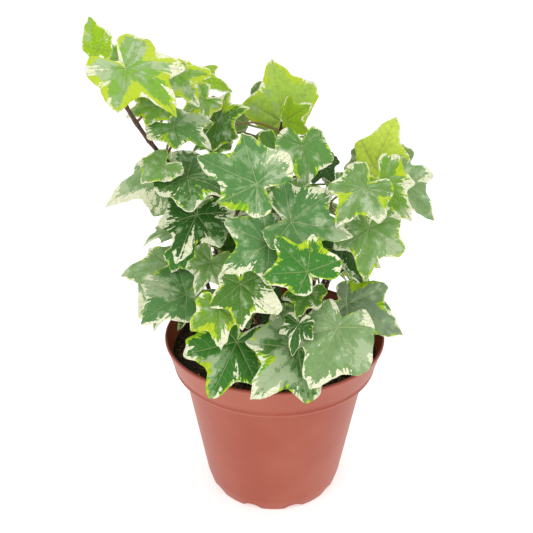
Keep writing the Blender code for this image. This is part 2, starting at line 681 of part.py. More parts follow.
def join_stem(name, route, leaves, parts, material):
    """One leafy stem: its leaves and their stalks fused to it."""
    loose = new_collection(f"{name}_loose")
    radii = [STEM_RADIUS * (1 - STEM_TAPER * index / len(route)) for index in range(len(route))]
    thin = [PETIOLE_RADIUS * share for share in PETIOLE_TAPER]
    stem = tube(name, route, radii, 1, parts)
    for blade, stalk in leaves:
        blade_object(blade, loose)
        tube(f"{blade.leaf.name}_stalk", stalk, thin, 0, loose)
    # The exact solver leaves slivers where a stalk ends inside its thin blade.
    union = stem.modifiers.new("leaves", "BOOLEAN")
    union.operation = "UNION"
    union.operand_type = "COLLECTION"
    union.collection = loose
    union.solver = "MANIFOLD"
    apply_modifiers(stem)
    for old in list(loose.objects):
        bpy.data.objects.remove(old)
    bpy.data.collections.remove(loose)
    stem.data.materials.clear()
    stem.data.materials.append(material)
    shade(stem, 50)


def main():
    clear_scene()
    parts = new_collection("potted_ivy")
    make_pot(parts, new_collection("pot_cutters"))
    make_soil(parts, new_collection("soil_cutters"))
    routes, grown = plant()
    material = new_material("leaf")
    for name, route in routes.items():
        join_stem(name, route, grown[name], parts, material)
        print(name, len(grown[name]), "leaves")


main()
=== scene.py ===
# %% [markdown]
# # A potted variegated ivy
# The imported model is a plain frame: a pot, a plug of soil and eleven leafy stems
# with thick, flat-faced leaves. This lesson keeps every one of them where it is and
# gives each the surface of the real thing: thin puckered leaves with veins and cream
# margins, brown stems, loose peat and satin plastic.

# %% Load the frame and note its size
import math
import random
from collections import namedtuple

import bmesh
import bpy
from mathutils import Matrix, Vector, noise
from mathutils.bvhtree import BVHTree


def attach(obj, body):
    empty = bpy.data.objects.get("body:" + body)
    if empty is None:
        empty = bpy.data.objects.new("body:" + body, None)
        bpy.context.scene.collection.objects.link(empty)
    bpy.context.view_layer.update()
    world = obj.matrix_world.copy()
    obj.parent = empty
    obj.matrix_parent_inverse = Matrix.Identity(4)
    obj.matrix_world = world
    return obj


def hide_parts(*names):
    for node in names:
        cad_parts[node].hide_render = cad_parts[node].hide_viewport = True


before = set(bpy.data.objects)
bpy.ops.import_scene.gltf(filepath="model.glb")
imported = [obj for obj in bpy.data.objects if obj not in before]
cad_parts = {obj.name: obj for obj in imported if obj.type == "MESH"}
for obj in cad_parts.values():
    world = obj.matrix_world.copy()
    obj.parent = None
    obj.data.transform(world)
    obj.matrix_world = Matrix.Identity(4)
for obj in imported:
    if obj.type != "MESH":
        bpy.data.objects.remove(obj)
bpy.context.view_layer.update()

METRES_PER_MM = 0.001

# %% [markdown]
# ## Small helpers
# Paint shades are easiest to name as the 0 to 255 values of a colour picker, but a
# shader works with the amount of light, so one small function turns the first into
# the second. Others read the tables of leaves and looks, one row to a line, keep a
# value within limits, mix two shades, and give a point at an angle about the Z axis.

# %% Colours, tables and points
PICKER_TOP = 255


def colour(red, green, blue):
    shades = [value / PICKER_TOP for value in (red, green, blue)]
    light = [s / 12.92 if s <= 0.04045 else ((s + 0.055) / 1.055) ** 2.4 for s in shades]
    return (*light, 1.0)


def table(lines):
    """The lines of a table, each as a list of its words and numbers."""
    for line in lines.strip().splitlines():
        yield [word if word[0].isalpha() else float(word) for word in line.split()]


def held(value, low=0.0, high=1.0):
    return min(high, max(low, value))


def mixed(first, second, share):
    return tuple(a + (b - a) * share for a, b in zip(first, second))


def ring_spot(angle, radius, height):
    return Vector((radius * math.cos(angle), radius * math.sin(angle), height))


# %% [markdown]
# ## A short hand for shader nodes
# Every finish below is a handful of nodes ending in one Principled shader. Adding
# and linking them one by one hides the idea, so a small class does the wiring, and a
# finish then reads as a recipe.

# %% The finish class


class Finish:
    """One material, with a short way to add nodes and link them."""

    def __init__(self, name):
        self.material = bpy.data.materials.new(name)
        self.material.use_nodes = True
        self.tree = self.material.node_tree
        self.shader = self.tree.nodes["Principled BSDF"]

    def give(self, name, value):
        """Sets or links one input of the shader."""
        self.wire(self.shader.inputs[name], value)

    def wire(self, socket, value):
        if isinstance(value, bpy.types.NodeSocket):
            self.tree.links.new(value, socket)
        else:
            socket.default_value = value

    def node(self, kind, named=(), **settings):
        made = self.tree.nodes.new(kind)
        for name, value in settings.items():
            setattr(made, name, value)
        for socket, value in dict(named).items():
            self.wire(made.inputs[socket], value)
        return made

    def maths(self, operation, first, second=0.0):
        return self.node("ShaderNodeMath", {0: first, 1: second}, operation=operation).outputs[0]

    def add(self, first, second):
        return self.maths("ADD", first, second)

    def times(self, first, second):
        return self.maths("MULTIPLY", first, second)

    def vector(self, operation, first, second):
        values = {0: first, 1: second}
        return self.node("ShaderNodeVectorMath", values, operation=operation).outputs[0]

    def joined(self, x, y, z=0.0):
        return self.node("ShaderNodeCombineXYZ", {0: x, 1: y, 2: z}).outputs[0]

    def split(self, vector):
        return self.node("ShaderNodeSeparateXYZ", {0: vector}).outputs

    def attribute(self, name, output="Vector"):
        return self.node("ShaderNodeAttribute", attribute_name=name).outputs[output]

    def position(self):
        return self.node("ShaderNodeTexCoord").outputs["Object"]

    def noise(self, place, scale, detail=2.0, roughness=0.5):
        values = {"Vector": place, "Scale": scale, "Detail": detail, "Roughness": roughness}
        return self.node("ShaderNodeTexNoise", values).outputs[0]

    def ramp(self, value, low, high, start=0.0, end=1.0):
        """A smooth step from start at low to end at high."""
        values = {0: value, 1: low, 2: high, 3: start, 4: end}
        made = self.node("ShaderNodeMapRange", values, interpolation_type="SMOOTHSTEP")
        return made.outputs[0]

    def blend(self, share, first, second):
        made = self.node("ShaderNodeMix", data_type="RGBA")
        for socket, value in ((0, share), (6, first), (7, second)):
            self.wire(made.inputs[socket], value)
        return made.outputs[2]

    def bump(self, height, distance, strength):
        values = {"Height": height, "Distance": distance, "Strength": strength}
        self.give("Normal", self.node("ShaderNodeBump", values).outputs[0])


# %% [markdown]
# ## Pieces from a mesh under construction
# All work is done in millimetres round the middle of the pot's underside. A finished
# object sits at the origin unscaled, so the step to metres is made in its mesh.

# %% Turn a bmesh into a piece


def piece_from(name, bm, *materials):
    mesh = bpy.data.meshes.new(name)
    bm.to_mesh(mesh)
    bm.free()
    mesh.transform(Matrix.Scale(METRES_PER_MM, 4))
    for material in materials:
        mesh.materials.append(material)
    made = bpy.data.objects.new(name, mesh)
    bpy.context.scene.collection.objects.link(made)
    return made


def triangle_count(piece):
    graph = bpy.context.evaluated_depsgraph_get()
    graph.update()
    mesh = piece.evaluated_get(graph).to_mesh()
    return sum(len(face.vertices) - 2 for face in mesh.polygons)


# %% [markdown]
# ## The pot
# The real pot is thin injection-moulded plastic: a sloping band under a rounded lip,
# a step, a tapering wall, and a foot with arches that let water out. A turned shape
# is a profile spun round an axis. The profile's corners are rounded first, while it
# is still a line, because one bevel there rounds the pot all the way round.

# %% The pot's profile, in millimetres
POT_HEIGHT = 94.0
RIM_RADIUS = 60.0
BAND_FOOT_RADIUS = 55.2
BAND_FOOT_HEIGHT = 76.5
WALL_TOP_RADIUS = 50.2
WALL_TOP_HEIGHT = 71.5
WALL_FOOT_RADIUS = 39.4
WALL_FOOT_HEIGHT = 7.0
FOOT_RADIUS = 37.4
WALL = 1.3
FLOOR = 1.4
CHANNEL_HEIGHT = 3.6
CHANNEL_RADIUS = 28.4


def pot_inner_profile():
    """The inside of the pot from the middle of its floor up to the rim."""
    channel_floor = CHANNEL_HEIGHT + FLOOR
    foot_slope = (WALL_FOOT_RADIUS - FOOT_RADIUS) / WALL_FOOT_HEIGHT
    return (
        (0, FLOOR),
        (CHANNEL_RADIUS - FLOOR, FLOOR),
        (CHANNEL_RADIUS + 0.4, channel_floor),
        (FOOT_RADIUS + foot_slope * channel_floor - WALL, channel_floor),
        (WALL_FOOT_RADIUS - WALL, WALL_FOOT_HEIGHT + 0.6),
        (WALL_TOP_RADIUS - WALL, WALL_TOP_HEIGHT + 0.6),
        (BAND_FOOT_RADIUS - WALL - 0.5, BAND_FOOT_HEIGHT + 0.4),
        (RIM_RADIUS - WALL - 0.1, POT_HEIGHT - 0.5),
    )


def pot_outer_profile():
    """The outside from the rim down to the middle of the underside, with its fine steps."""
    return (
        (RIM_RADIUS - WALL + 0.2, POT_HEIGHT),
        (RIM_RADIUS - 0.3, POT_HEIGHT),
        (RIM_RADIUS, POT_HEIGHT - 0.5),
        (RIM_RADIUS - 0.1, POT_HEIGHT - 2.0),
        (RIM_RADIUS - 0.75, POT_HEIGHT - 2.5),
        (BAND_FOOT_RADIUS + 1.1, BAND_FOOT_HEIGHT + 3.6),
        (BAND_FOOT_RADIUS + 0.45, BAND_FOOT_HEIGHT + 3.1),
        (BAND_FOOT_RADIUS + 0.3, BAND_FOOT_HEIGHT + 1.8),
        (BAND_FOOT_RADIUS + 0.7, BAND_FOOT_HEIGHT + 0.9),
        (BAND_FOOT_RADIUS, BAND_FOOT_HEIGHT - 0.4),
        (WALL_TOP_RADIUS + 1.3, WALL_TOP_HEIGHT + 1.9),
        (WALL_TOP_RADIUS + 0.3, WALL_TOP_HEIGHT + 1.0),
        (WALL_TOP_RADIUS, WALL_TOP_HEIGHT),
        (WALL_FOOT_RADIUS, WALL_FOOT_HEIGHT),
        (FOOT_RADIUS, 0),
        (FOOT_RADIUS - WALL, 0),
        (FOOT_RADIUS - WALL, CHANNEL_HEIGHT),
        (CHANNEL_RADIUS + 1.6, CHANNEL_HEIGHT),
        (CHANNEL_RADIUS, 0),
        (0, 0),
    )


# %% [markdown]
# A full spin leaves a seam and, where the profile touches the axis, a stack of
# points. Both are merged before the faces are turned outwards.

# %% Spin a profile
CORNER_ROUND = 0.35
CORNER_STEPS = 2
SEAM_GAP = 0.0005


def spun(profile, steps, rounding=0.0):
    """A closed bmesh turned about Z from (radius, height) points that end on the axis."""
    bm = bmesh.new()
    points = [bm.verts.new((radius, 0, height)) for radius, height in profile]
    for first, second in zip(points, points[1:]):
        bm.edges.new((first, second))
    if rounding:
        corners = points[1:-1]
        bmesh.ops.bevel(
            bm, geom=corners, offset=rounding, offset_type="OFFSET", segments=CORNER_STEPS,
            profile=0.5, affect="VERTICES", clamp_overlap=True, material=-1,
        )
    outline = list(bm.verts) + list(bm.edges)
    bmesh.ops.spin(
        bm, geom=outline, cent=(0, 0, 0), axis=(0, 0, 1), angle=math.tau, steps=steps,
        use_merge=True,
    )
    bmesh.ops.remove_doubles(bm, verts=bm.verts, dist=SEAM_GAP)
    bmesh.ops.recalc_face_normals(bm, faces=bm.faces)
    return bm


# %% [markdown]
# The arches and drain holes are cut with plain cylinders, and the cutters are removed
# once the cut is applied, so that the piece left is an ordinary mesh.

# %% Cut the arches and drains
POT_STEPS = 180
ARCHES = 10
ARCH_RADIUS = 6.6
ARCH_HEIGHT = 2.6
ARCH_SIDES = 48
ARCH_INNER_RADIUS = CHANNEL_RADIUS + 3.2
DRAINS = 5
DRAIN_RADIUS = 2.3
DRAIN_SIDES = 24
DRAIN_RING_RADIUS = CHANNEL_RADIUS + 4.6
DRAIN_TOP = CHANNEL_HEIGHT + 6


def bored(bm, radius, start, end, sides):
    """Adds a closed cylinder between two points to a bmesh of cutters."""
    along = end - start
    turn = along.to_track_quat("Z", "Y").to_matrix().to_4x4()
    place = Matrix.Translation(start + along / 2) @ turn
    bmesh.ops.create_cone(
        bm, cap_ends=True, segments=sides, radius1=radius, radius2=radius, depth=along.length,
        matrix=place,
    )


def cut_away(piece, cutter):
    boolean = piece.modifiers.new("cut", "BOOLEAN")
    boolean.object = cutter
    graph = bpy.context.evaluated_depsgraph_get()
    graph.update()
    mesh = bpy.data.meshes.new_from_object(piece.evaluated_get(graph))
    piece.modifiers.clear()
    piece.data = mesh
    bpy.data.objects.remove(cutter)


def shade(piece, degrees):
    piece.data.shade_smooth()
    piece.data.set_sharp_from_angle(angle=math.radians(degrees))


def make_pot(material):
    profile = pot_inner_profile() + pot_outer_profile()
    pot = piece_from("nursery_pot", spun(profile, POT_STEPS, CORNER_ROUND), material)
    cutters = bmesh.new()
    centre_height = ARCH_HEIGHT - ARCH_RADIUS
    for index in range(ARCHES):
        angle = math.radians(-90) + math.tau / ARCHES * (index + 0.5)
        inner = ring_spot(angle, ARCH_INNER_RADIUS, centre_height)
        bored(cutters, ARCH_RADIUS, inner, ring_spot(angle, RIM_RADIUS, centre_height), ARCH_SIDES)
    for index in range(DRAINS):
        foot = ring_spot(math.tau / DRAINS * index, DRAIN_RING_RADIUS, 0)
        bored(cutters, DRAIN_RADIUS, foot, foot + Vector((0, 0, DRAIN_TOP)), DRAIN_SIDES)
    cut_away(pot, piece_from("pot_cutters", cutters))
    shade(pot, 32)
    return pot


# %% [markdown]
# Terracotta-coloured polypropylene is a dull orange-red with a satin skin. Its colour
# is nearly even: slow clouds of a lighter, dustier shade, faint marks round the wall
# from the mould, and a fine grain that breaks up the highlight. Along the top of the
# rim a deeper red is painted light, standing in for light seen through the thin edge.

# %% The pot's finish
POT_CLAY = colour(164, 70, 43)
POT_PALE = colour(174, 86, 60)
POT_DEEP = colour(142, 44, 20)
LIT_THROUGH_DEPTHS = (1.4, 0.5)
BAND_STRETCH = (12, 12, 420)


def pot_finish():
    pot = Finish("terracotta_plastic")
    place = pot.position()
    clouds = pot.noise(place, 22, 3)
    bands = pot.noise(pot.vector("MULTIPLY", place, BAND_STRETCH), 1, 2)
    tint = pot.blend(pot.ramp(clouds, 0.35, 0.7), POT_CLAY, POT_PALE)
    # Painted light: the top of the rim turns a deeper red, the look of light seen through the thin
    # plastic edge.
    lit_through_foot, lit_through_top = ((POT_HEIGHT - depth) * METRES_PER_MM for depth in LIT_THROUGH_DEPTHS)
    lit_through_rim = pot.ramp(pot.split(place)[2], lit_through_foot, lit_through_top)
    tint = pot.blend(pot.times(lit_through_rim, 0.75), tint, POT_DEEP)
    tint = pot.blend(pot.ramp(bands, 0.62, 0.8, 0, 0.12), tint, POT_DEEP)
    pot.give("Base Color", tint)
    grain = pot.noise(place, 900, 2)
    rough = pot.add(pot.times(grain, 0.12), pot.times(clouds, 0.12))
    pot.give("Roughness", pot.add(rough, 0.3))
    pot.bump(pot.add(pot.times(grain, 0.6), pot.times(bands, 0.4)), 0.00008, 0.5)
    return pot.material


pot = make_pot(pot_finish())
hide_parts("pot")
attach(pot, "root")
print("pot:", triangle_count(pot), "triangles")

# %% [markdown]
# ## The soil
# Potting mix is loose peat with bark, fibres and white perlite. Seen from a step away
# its lumps matter most, so the plug's top is a ringed disc pushed up and down by
# noise, and about a thousand separate bits lie on it. A crumb is a ball of 20 faces
# with its points pushed about: small, angular and cheap.

# %% The plug of soil
SOIL_HEIGHT = 84.5
SOIL_LUMP = 1.3
SOIL_LUMP_WIDTH = 14.0
SOIL_CRUMB = 1.1
SOIL_CRUMB_WIDTH = 3.2
SOIL_RADIUS = 55.6
SOIL_STEPS = 140
SOIL_RINGS = 38
SOIL_FADE = 6
SOIL_RISE = 0.25
CLEAR = 0.35


def soil_top(x, y):
    """The height of the soil's surface, with its lumps and its crumbly skin."""
    spot = Vector((x, y, SOIL_HEIGHT))
    fade = held((SOIL_RADIUS - spot.xy.length) / SOIL_FADE)
    lump = noise.fractal(spot / SOIL_LUMP_WIDTH, 1.0, 2.0, 3) + SOIL_RISE
    crumb = noise.fractal(spot / SOIL_CRUMB_WIDTH, 0.8, 2.0, 3)
    return SOIL_HEIGHT + (SOIL_LUMP * lump + SOIL_CRUMB * crumb) * fade


def make_soil(material):
    rings = [SOIL_RADIUS * ring / SOIL_RINGS for ring in range(SOIL_RINGS + 1)]
    top = [(radius, SOIL_HEIGHT) for radius in rings]
    inner = pot_inner_profile()[1:-1]
    side = [(radius - 0.5, height + CLEAR) for radius, height in reversed(inner)]
    bm = spun(top + side + [(0, FLOOR + CLEAR)], SOIL_STEPS)
    for vertex in bm.verts:
        if vertex.co.z > SOIL_HEIGHT - 0.1:
            vertex.co.z = soil_top(vertex.co.x, vertex.co.y)
    soil = piece_from("potting_mix", bm, material)
    shade(soil, 70)
    return soil


# %% [markdown]
# Crumbs, bark slivers and perlite are scattered by one rule: an even spread over the
# disc comes from the square root of a random number, and each bit is sunk a little
# into the surface under it.

# %% Scatter bits over the soil
Bits = namedtuple("Bits", "name count shortest longest flatness jitter subdivisions")
CRUMBS = Bits("soil_crumbs", 950, 0.5, 1.9, 0.75, 0.3, 1)
SLIVERS = Bits("bark_slivers", 170, 0.35, 0.9, 0.3, 0.2, 1)
PERLITE = Bits("perlite_grains", 46, 0.5, 1.15, 0.8, 0.22, 2)
SLIVER_STRETCH = 5.5
BITS_RADIUS = SOIL_RADIUS - 2.5
BITS_RISE = 0.45
BITS_LEAN = 0.5


def scattered(bits, material, stretch=1.0):
    chance = random.Random(bits.name)
    bm = bmesh.new()
    for _ in range(bits.count):
        radius = BITS_RADIUS * math.sqrt(chance.random())
        angle = chance.uniform(0, math.tau)
        size = bits.shortest + (bits.longest - bits.shortest) * chance.random() ** 2
        x, y = radius * math.cos(angle), radius * math.sin(angle)
        place = Matrix.Translation((x, y, soil_top(x, y) + size * bits.flatness * BITS_RISE))
        turn = Matrix.Rotation(chance.uniform(0, math.tau), 4, "Z")
        lean = Matrix.Rotation(chance.uniform(-BITS_LEAN, BITS_LEAN), 4, "Y")
        shape = Matrix.Diagonal((size * stretch, size, size * bits.flatness, 1))
        ball = bmesh.ops.create_icosphere(bm, subdivisions=bits.subdivisions, radius=1)["verts"]
        for vertex in ball:
            vertex.co *= 1 + chance.uniform(-bits.jitter, bits.jitter)
        bmesh.ops.transform(bm, matrix=place @ turn @ lean @ shape, verts=ball)
    return piece_from(bits.name, bm, material)


# %% The soil's finishes
PEAT = colour(60, 42, 30)
PEAT_LIGHT = colour(122, 92, 64)
PEAT_BLACK = colour(32, 22, 16)
BARK = colour(152, 108, 68)
STONE_WHITE = colour(226, 222, 208)


def peat_finish(name, dark, light, scale):
    peat = Finish(name)
    place = peat.position()
    clumps = peat.noise(place, scale, 5, 0.65)
    specks = peat.noise(place, scale * 7, 3, 0.6)
    tint = peat.blend(peat.ramp(clumps, 0.35, 0.7), dark, light)
    tint = peat.blend(peat.ramp(specks, 0.62, 0.72, 0, 0.8), tint, BARK)
    tint = peat.blend(peat.ramp(specks, 0.42, 0.3, 0, 0.85), tint, PEAT_BLACK)
    peat.give("Base Color", tint)
    peat.give("Roughness", 0.95)
    peat.bump(peat.add(clumps, specks), 0.0008, 0.9)
    return peat.material


def perlite_finish():
    grain = Finish("perlite_white")
    place = grain.position()
    pits = grain.noise(place, 1400, 3)
    dirty = mixed(STONE_WHITE, BARK, 0.35)
    grain.give("Base Color", grain.blend(pits, dirty, STONE_WHITE))
    grain.give("Roughness", 0.9)
    grain.bump(pits, 0.0003, 0.8)
    return grain.material


soil = make_soil(peat_finish("peat", PEAT_BLACK, PEAT, 160))
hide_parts("soil")
crumbs = scattered(CRUMBS, peat_finish("peat_crumb", PEAT, PEAT_LIGHT, 320))
slivers = scattered(SLIVERS, peat_finish("bark", PEAT_LIGHT, BARK, 260), SLIVER_STRETCH)
grains = scattered(PERLITE, perlite_finish())
soil_bits = ((soil, "potting_soil"), (crumbs, "potting_soil"), (slivers, "potting_soil"),
             (grains, "perlite"))
for bit, slot in soil_bits:
    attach(bit, "root")
    print(bit.name, triangle_count(bit), "triangles")

# %% [markdown]
# ## Where the leaves grow
# A leaf is known by its junction, where the stalk meets the blade, by the tip of its
# middle lobe, and by the way its face looks. The same routes and rows as in the solid
# model are repeated here, so each fine leaf takes the place of its plain one.

# %% The stems' routes, from the bottom of the hole in the soil to the tip
STEM_RADIUS = 1.5
STEM_TAPER = 0.45
STEM_MOUTH = 3.0
PETIOLE_RADIUS = 0.75
ROUTES = {
    "stem_tall_left": (
        (-15, -6, 72), (-15, -6, 96), (-14, -10, 135), (-17, -19, 167), (-28, -24, 180),
        (-44, -26, 191), (-57, -30, 208), (-66, -33, 225), (-72, -33, 240),
    ),
    "stem_centre": (
        (5, 4, 72), (5, 4, 96), (-1, 8, 135), (-3, 6, 172), (1, 8, 196), (3, 9, 208),
    ),
    "stem_right": ((22, 0, 72), (22, 0, 96), (30, 1, 130), (38, 4, 156), (45, 6, 176)),
    "stem_front_right": (
        (13, -14, 72), (13, -14, 96), (18, -20, 125), (21, -26, 150), (18, -32, 168),
    ),
    "stem_front_left": (
        (-27, -12, 72), (-27, -12, 96), (-33, -18, 125), (-37, -22, 148), (-38, -26, 166),
    ),
    "stem_front_centre": (
        (-5, -20, 72), (-5, -20, 96), (-10, -27, 125), (-9, -33, 150), (-6, -36, 174),
    ),
    "stem_low_front": ((2, -31, 72), (2, -31, 94), (4, -37, 108), (6, -42, 120)),
    "stem_low_right": ((29, -18, 72), (29, -18, 94), (33, -24, 106), (36, -26, 118)),
    "stem_back_left": ((-22, 16, 72), (-22, 16, 96), (-32, 24, 125), (-38, 28, 150)),
    "stem_back_right": ((20, 20, 72), (20, 20, 96), (32, 26, 122), (38, 30, 144)),
    "stem_back": ((-1, 27, 72), (-1, 27, 96), (-2, 36, 122), (-2, 38, 146)),
}

# %% [markdown]
# A row holds a leaf's name, junction, tip, facing (degrees turned from the front
# towards the right, degrees tilted up), outline, and how far the left and right side
# lobes and the left and right basal lobes reach. Lengths are in millimetres, and a
# stem's name stands alone above its leaves.

# %% The leaves that show most on each stem
LEAVES = """
stem_low_right
blue_green 36 -26 124  65 -34 111  5 38  lobed  0.85 1 0.6 0.8
pale_broad 29 -56 128  16 -70 102  -8 32  broad  0.92 0.72 0.77 0.65
stem_low_front
rim_left -18 -50 116  -31 -67 93  15 32  lobed  0.95 1.05 0.95 1
rim_middle 11 -52 114  -12 -70 96  12 36  lobed  0.95 0.9 1 1
small_dark 11 -57 130  8 -65 117  -10 28  narrow  1 1 1 1
fresh 15 -44 137  10 -54 128  -5 45  lobed  0.9 1 1 1
stem_front_centre
centre_grey -3 -50 167  -24 -66 159  20 30  lobed  0.85 1 1 0.88
centre_cream -16 -64 153  -15 -72 133  -5 20  lobed  1.25 0.95 1 0.75
centre_low -25 -60 140  -24 -67 121  10 25  lobed  0.8 1 1 0.8
centre_dark 2 -36 130  -6 -42 118  0 40  broad  0.9 0.9 0.8 0.8
stem_front_right
broad_grey 7 -46 176  35 -50 171  0 42  lobed  1 0.85 1 0.85
bright 14 -64 160  -1 -56 174  -10 22  lobed  1.1 0.9 0.8 1.05
tucked 32 -32 157  43 -42 144  20 40  lobed  1 1 1 1
stem_front_left
left_dark -36 -38 176  -44 -57 159  -5 50  lobed  0.95 0.85 1 1
left_edge_on -51 -20 160  -65 -24 154  -20 80  narrow  1 1 1 1
left_far -53 -20 142  -78 -20 135  -20 40  lobed  1.4 0.65 1 0.65
left_smooth -42 -42 137  -62 -58 129  0 58  broad  0.8 1 1 1.1
left_curled -45 -28 152  -50 -34 144  -15 40  broad  1 1 1 1
left_streaked -30 -40 153  -37 -49 140  -15 38  lobed  1 0.9 1 1
left_folded -42 -28 127  -46 -33 110  40 20  narrow  1 1 1 1
stem_right
right_band 50 -20 186  64 -30 170  0 32  lobed  0.8 1 1 1
shoulder 42 -42 172  40 -56 151  -5 38  lobed  1 0.9 0.9 0.7
right_front 40 -40 190  26 -52 175  -15 46  lobed  1 0.9 0.8 0.95
right_grey 57 -3 180  78 -9 162  20 40  lobed  0.95 0.9 0.8 0.6
right_lime 49 8 185  59 10 210  -15 14  broad  0.7 0.85 0.45 0.5
back_right 54 20 185  54 32 161  175 25  lobed  1 1 0.9 1
back_far 60 14 172  67 22 151  150 30  lobed  0.9 1 1 1
stem_tall_left
crown -75 -34 248  -79 -30 261  -20 12  broad  0.75 0.8 0.6 0.65
crown_back -70 -12 241  -68 -8 251  15 20  lobed  0.9 0.8 0.9 0.9
top -62 -44 242  -40 -56 225  30 54  lobed  1 1.05 1.1 0.85
top_under -45 -20 236  -34 -30 223  0 40  lobed  1 1 0.6 0.8
top_behind -43 20 225  -22 18 221  10 58  lobed  0.95 0.8 1 1
middle -46 -28 214  -28 -34 205  25 62  lobed  1.1 0.9 1.1 1
elbow_small -50 -38 198  -59 -46 192  5 50  broad  0.8 1 1 1
elbow_long -52 -12 187  -81 -24 174  -25 50  lobed  1 0.65 0.9 0.65
elbow_front -40 -36 191  -17 -46 184  20 64  lobed  1 1.1 1.2 0.95
tall_tuft -53 -21 219  -67 -24 214  -10 35  lobed  1 1 1 1
tall_fill -34 -4 221  -45 -10 214  0 40  lobed  1 1 1 1
tall_back -49 -14 209  -54 -4 196  200 40  broad  1 1 1 1
top_back -57 -20 228  -64 -12 217  215 30  lobed  1 1 1 0.9
stem_centre
lime_dark -28 -6 211  -12 -11 219  -20 40  lobed  1 1.1 1.1 1.2
shaded 0 -8 198  -7 -16 184  0 40  lobed  1 1 1 1
sweep -7 -44 193  -34 -35 203  -10 15  lobed  0.75 0.9 0.75 0.95
sweep_under -6 -40 190  -8 -50 180  5 50  broad  1 1 1 1
lime_upright 2 12 207  -3 14 238  20 5  broad  0.85 1 0.4 0.6
lime_small 5 2 210  18 -2 219  -10 30  lobed  0.9 1 0.4 0.45
heart 12 -22 204  14 -31 187  10 35  broad  1 1 0.9 0.95
heart_behind 21 2 190  30 -2 178  20 35  lobed  0.9 1 0.8 0.9
gap_right 34 0 181  22 -8 176  0 50  lobed  0.9 0.9 0.8 0.8
olive -13 3 199  0 1 203  5 50  lobed  0.9 0.9 0.8 0.8
sweep_back -29 0 201  -41 -4 196  0 50  lobed  1 1 1 1
back_crown 2 24 215  4 34 192  180 25  lobed  1 0.9 1 1
back_high 13 20 190  22 30 171  160 30  broad  0.9 1 1 1
back_lime -25 10 207  -32 20 189  195 35  lobed  1 1 0.9 1
back_small -12 22 184  -20 34 175  200 40  lobed  1 1 1 1
back_broad -12 28 153  -17 42 128  190 35  broad  1 1 1 0.9
stem_back
back_low 13 28 152  20 43 128  170 32  lobed  1 1 1 0.9
"""

# %% [markdown]
# ## The outline of an ivy leaf
# Half an outline is nine corners: tip, shoulder, bay, side lobe, shoulder, bay, basal
# lobe, shoulder and the notch at the stalk. Each has an angle from the middle lobe
# and a reach from the junction, so three outlines and four lobe lengths give every
# leaf its own shape.

# %% Outlines
ANGLES = (0, 12, 27, 51, 66, 84, 113, 147, 180)
OUTLINES = {
    "lobed": (1.00, 0.78, 0.61, 0.83, 0.74, 0.59, 0.68, 0.56, 0.15),
    "broad": (1.00, 0.84, 0.73, 0.83, 0.79, 0.69, 0.71, 0.62, 0.16),
    "narrow": (1.00, 0.70, 0.48, 0.66, 0.54, 0.44, 0.49, 0.39, 0.12),
}
ARCHES_UP = (0.05, 0.12)
ROLLS_DOWN = (0.0, 0.16)
WAVES = (0.03, 0.07)
STALK_RISE = 0.1
STALK_LEAD = 0.2
LEAD_ALONG = 5
LEAD_BELOW = 4
Leaf = namedtuple("Leaf", "stem name junction tip facing outline lobes")


class Blade:
    """Where one leaf's blade lies: its own axes, its outline and its waves."""

    def __init__(self, leaf):
        self.leaf = leaf
        chance = random.Random(leaf.name)
        turn, tilt = (math.radians(angle) for angle in leaf.facing)
        self.junction = Vector(leaf.junction)
        along = Vector(leaf.tip) - self.junction
        self.length = along.length
        self.along = along.normalized()
        level = Vector((math.sin(turn), -math.cos(turn), 0))
        facing = level * math.cos(tilt) + Vector((0, 0, math.sin(tilt)))
        self.face = (facing - facing.project(self.along)).normalized()
        self.across = self.face.cross(self.along)
        self.arch = chance.uniform(*ARCHES_UP)
        self.roll = chance.uniform(*ROLLS_DOWN)
        self.wave = chance.uniform(*WAVES)
        self.phase = chance.uniform(0, math.tau)

    def rim(self):
        """The outline's corners, once round from the tip, as (angle, reach)."""
        left_side, right_side, left_basal, right_basal = self.leaf.lobes
        left = self.half(left_side, left_basal)
        right = self.half(right_side, right_basal)
        return left + [(-angle, reach) for angle, reach in reversed(right[1:-1])]

    def half(self, side, basal):
        """One half of the outline with its side lobe and basal lobe lengthened."""
        shares = (1, 1, (1 + side) / 2, side, side, (side + basal) / 2, basal, basal, 1)
        corners = zip(ANGLES, OUTLINES[self.leaf.outline], shares)
        return [(math.radians(angle), reach * share) for angle, reach, share in corners]

    def place(self, angle, reach, share=1.0, lift=0.0):
        """A point of the blade: share of the way out to the rim, lift off its middle sheet."""
        out = share * reach
        x = out * math.cos(angle)
        y = out * math.sin(angle)
        rolled = -self.roll * y * y
        arched = self.arch * 4 * max(0, x) * (1 - x)
        waved = self.wave * out ** 2 * math.sin(3 * angle + self.phase) * math.sin(angle) ** 2
        flat = self.along * x + self.across * y + self.face * (rolled + arched + waved)
        return self.junction + flat * self.length + self.face * lift

    def sheet(self, shares, lift=0.0):
        """The blade's middle sheet as rings of points and triangles, for clearance."""
        rim = self.rim()
        count = len(rim)
        points = [self.place(0, 0, 0, lift)]
        for share in shares:
            points += [self.place(angle, reach, share, lift) for angle, reach in rim]
        faces = [(0, 1 + index, 1 + (index + 1) % count) for index in range(count)]
        for first in range(1, 1 + count * (len(shares) - 1), count):
            for index in range(count):
                here, after = first + index, first + (index + 1) % count
                faces.append((here, here + count, after + count))
                faces.append((here, after + count, after))
        return points, faces

    def stalk(self, root, bow):
        """The leaf stalk's route from the stem's middle to just inside the blade."""
        gap = (self.junction - root).length
        sideways = (self.junction - root).cross(Vector((0, 0, 1))).normalized()
        middle = root.lerp(self.junction, 0.5) + sideways * bow
        middle += (Vector((0, 0, 1)) - self.face) * gap * STALK_RISE
        lead = gap * STALK_LEAD
        beside = self.junction - self.along * min(LEAD_ALONG, lead)
        near = beside - self.face * min(LEAD_BELOW, lead)
        return [root, middle, near, self.junction]


# %% [markdown]
# ## Keeping the leaves apart
# Two leaves never pass through each other on the plant. A new leaf is tested against
# the surfaces already placed, and shifted, tilted or given another stalk until it is
# clear, or left out. The order of the tries is fixed, so the plant is always the same.

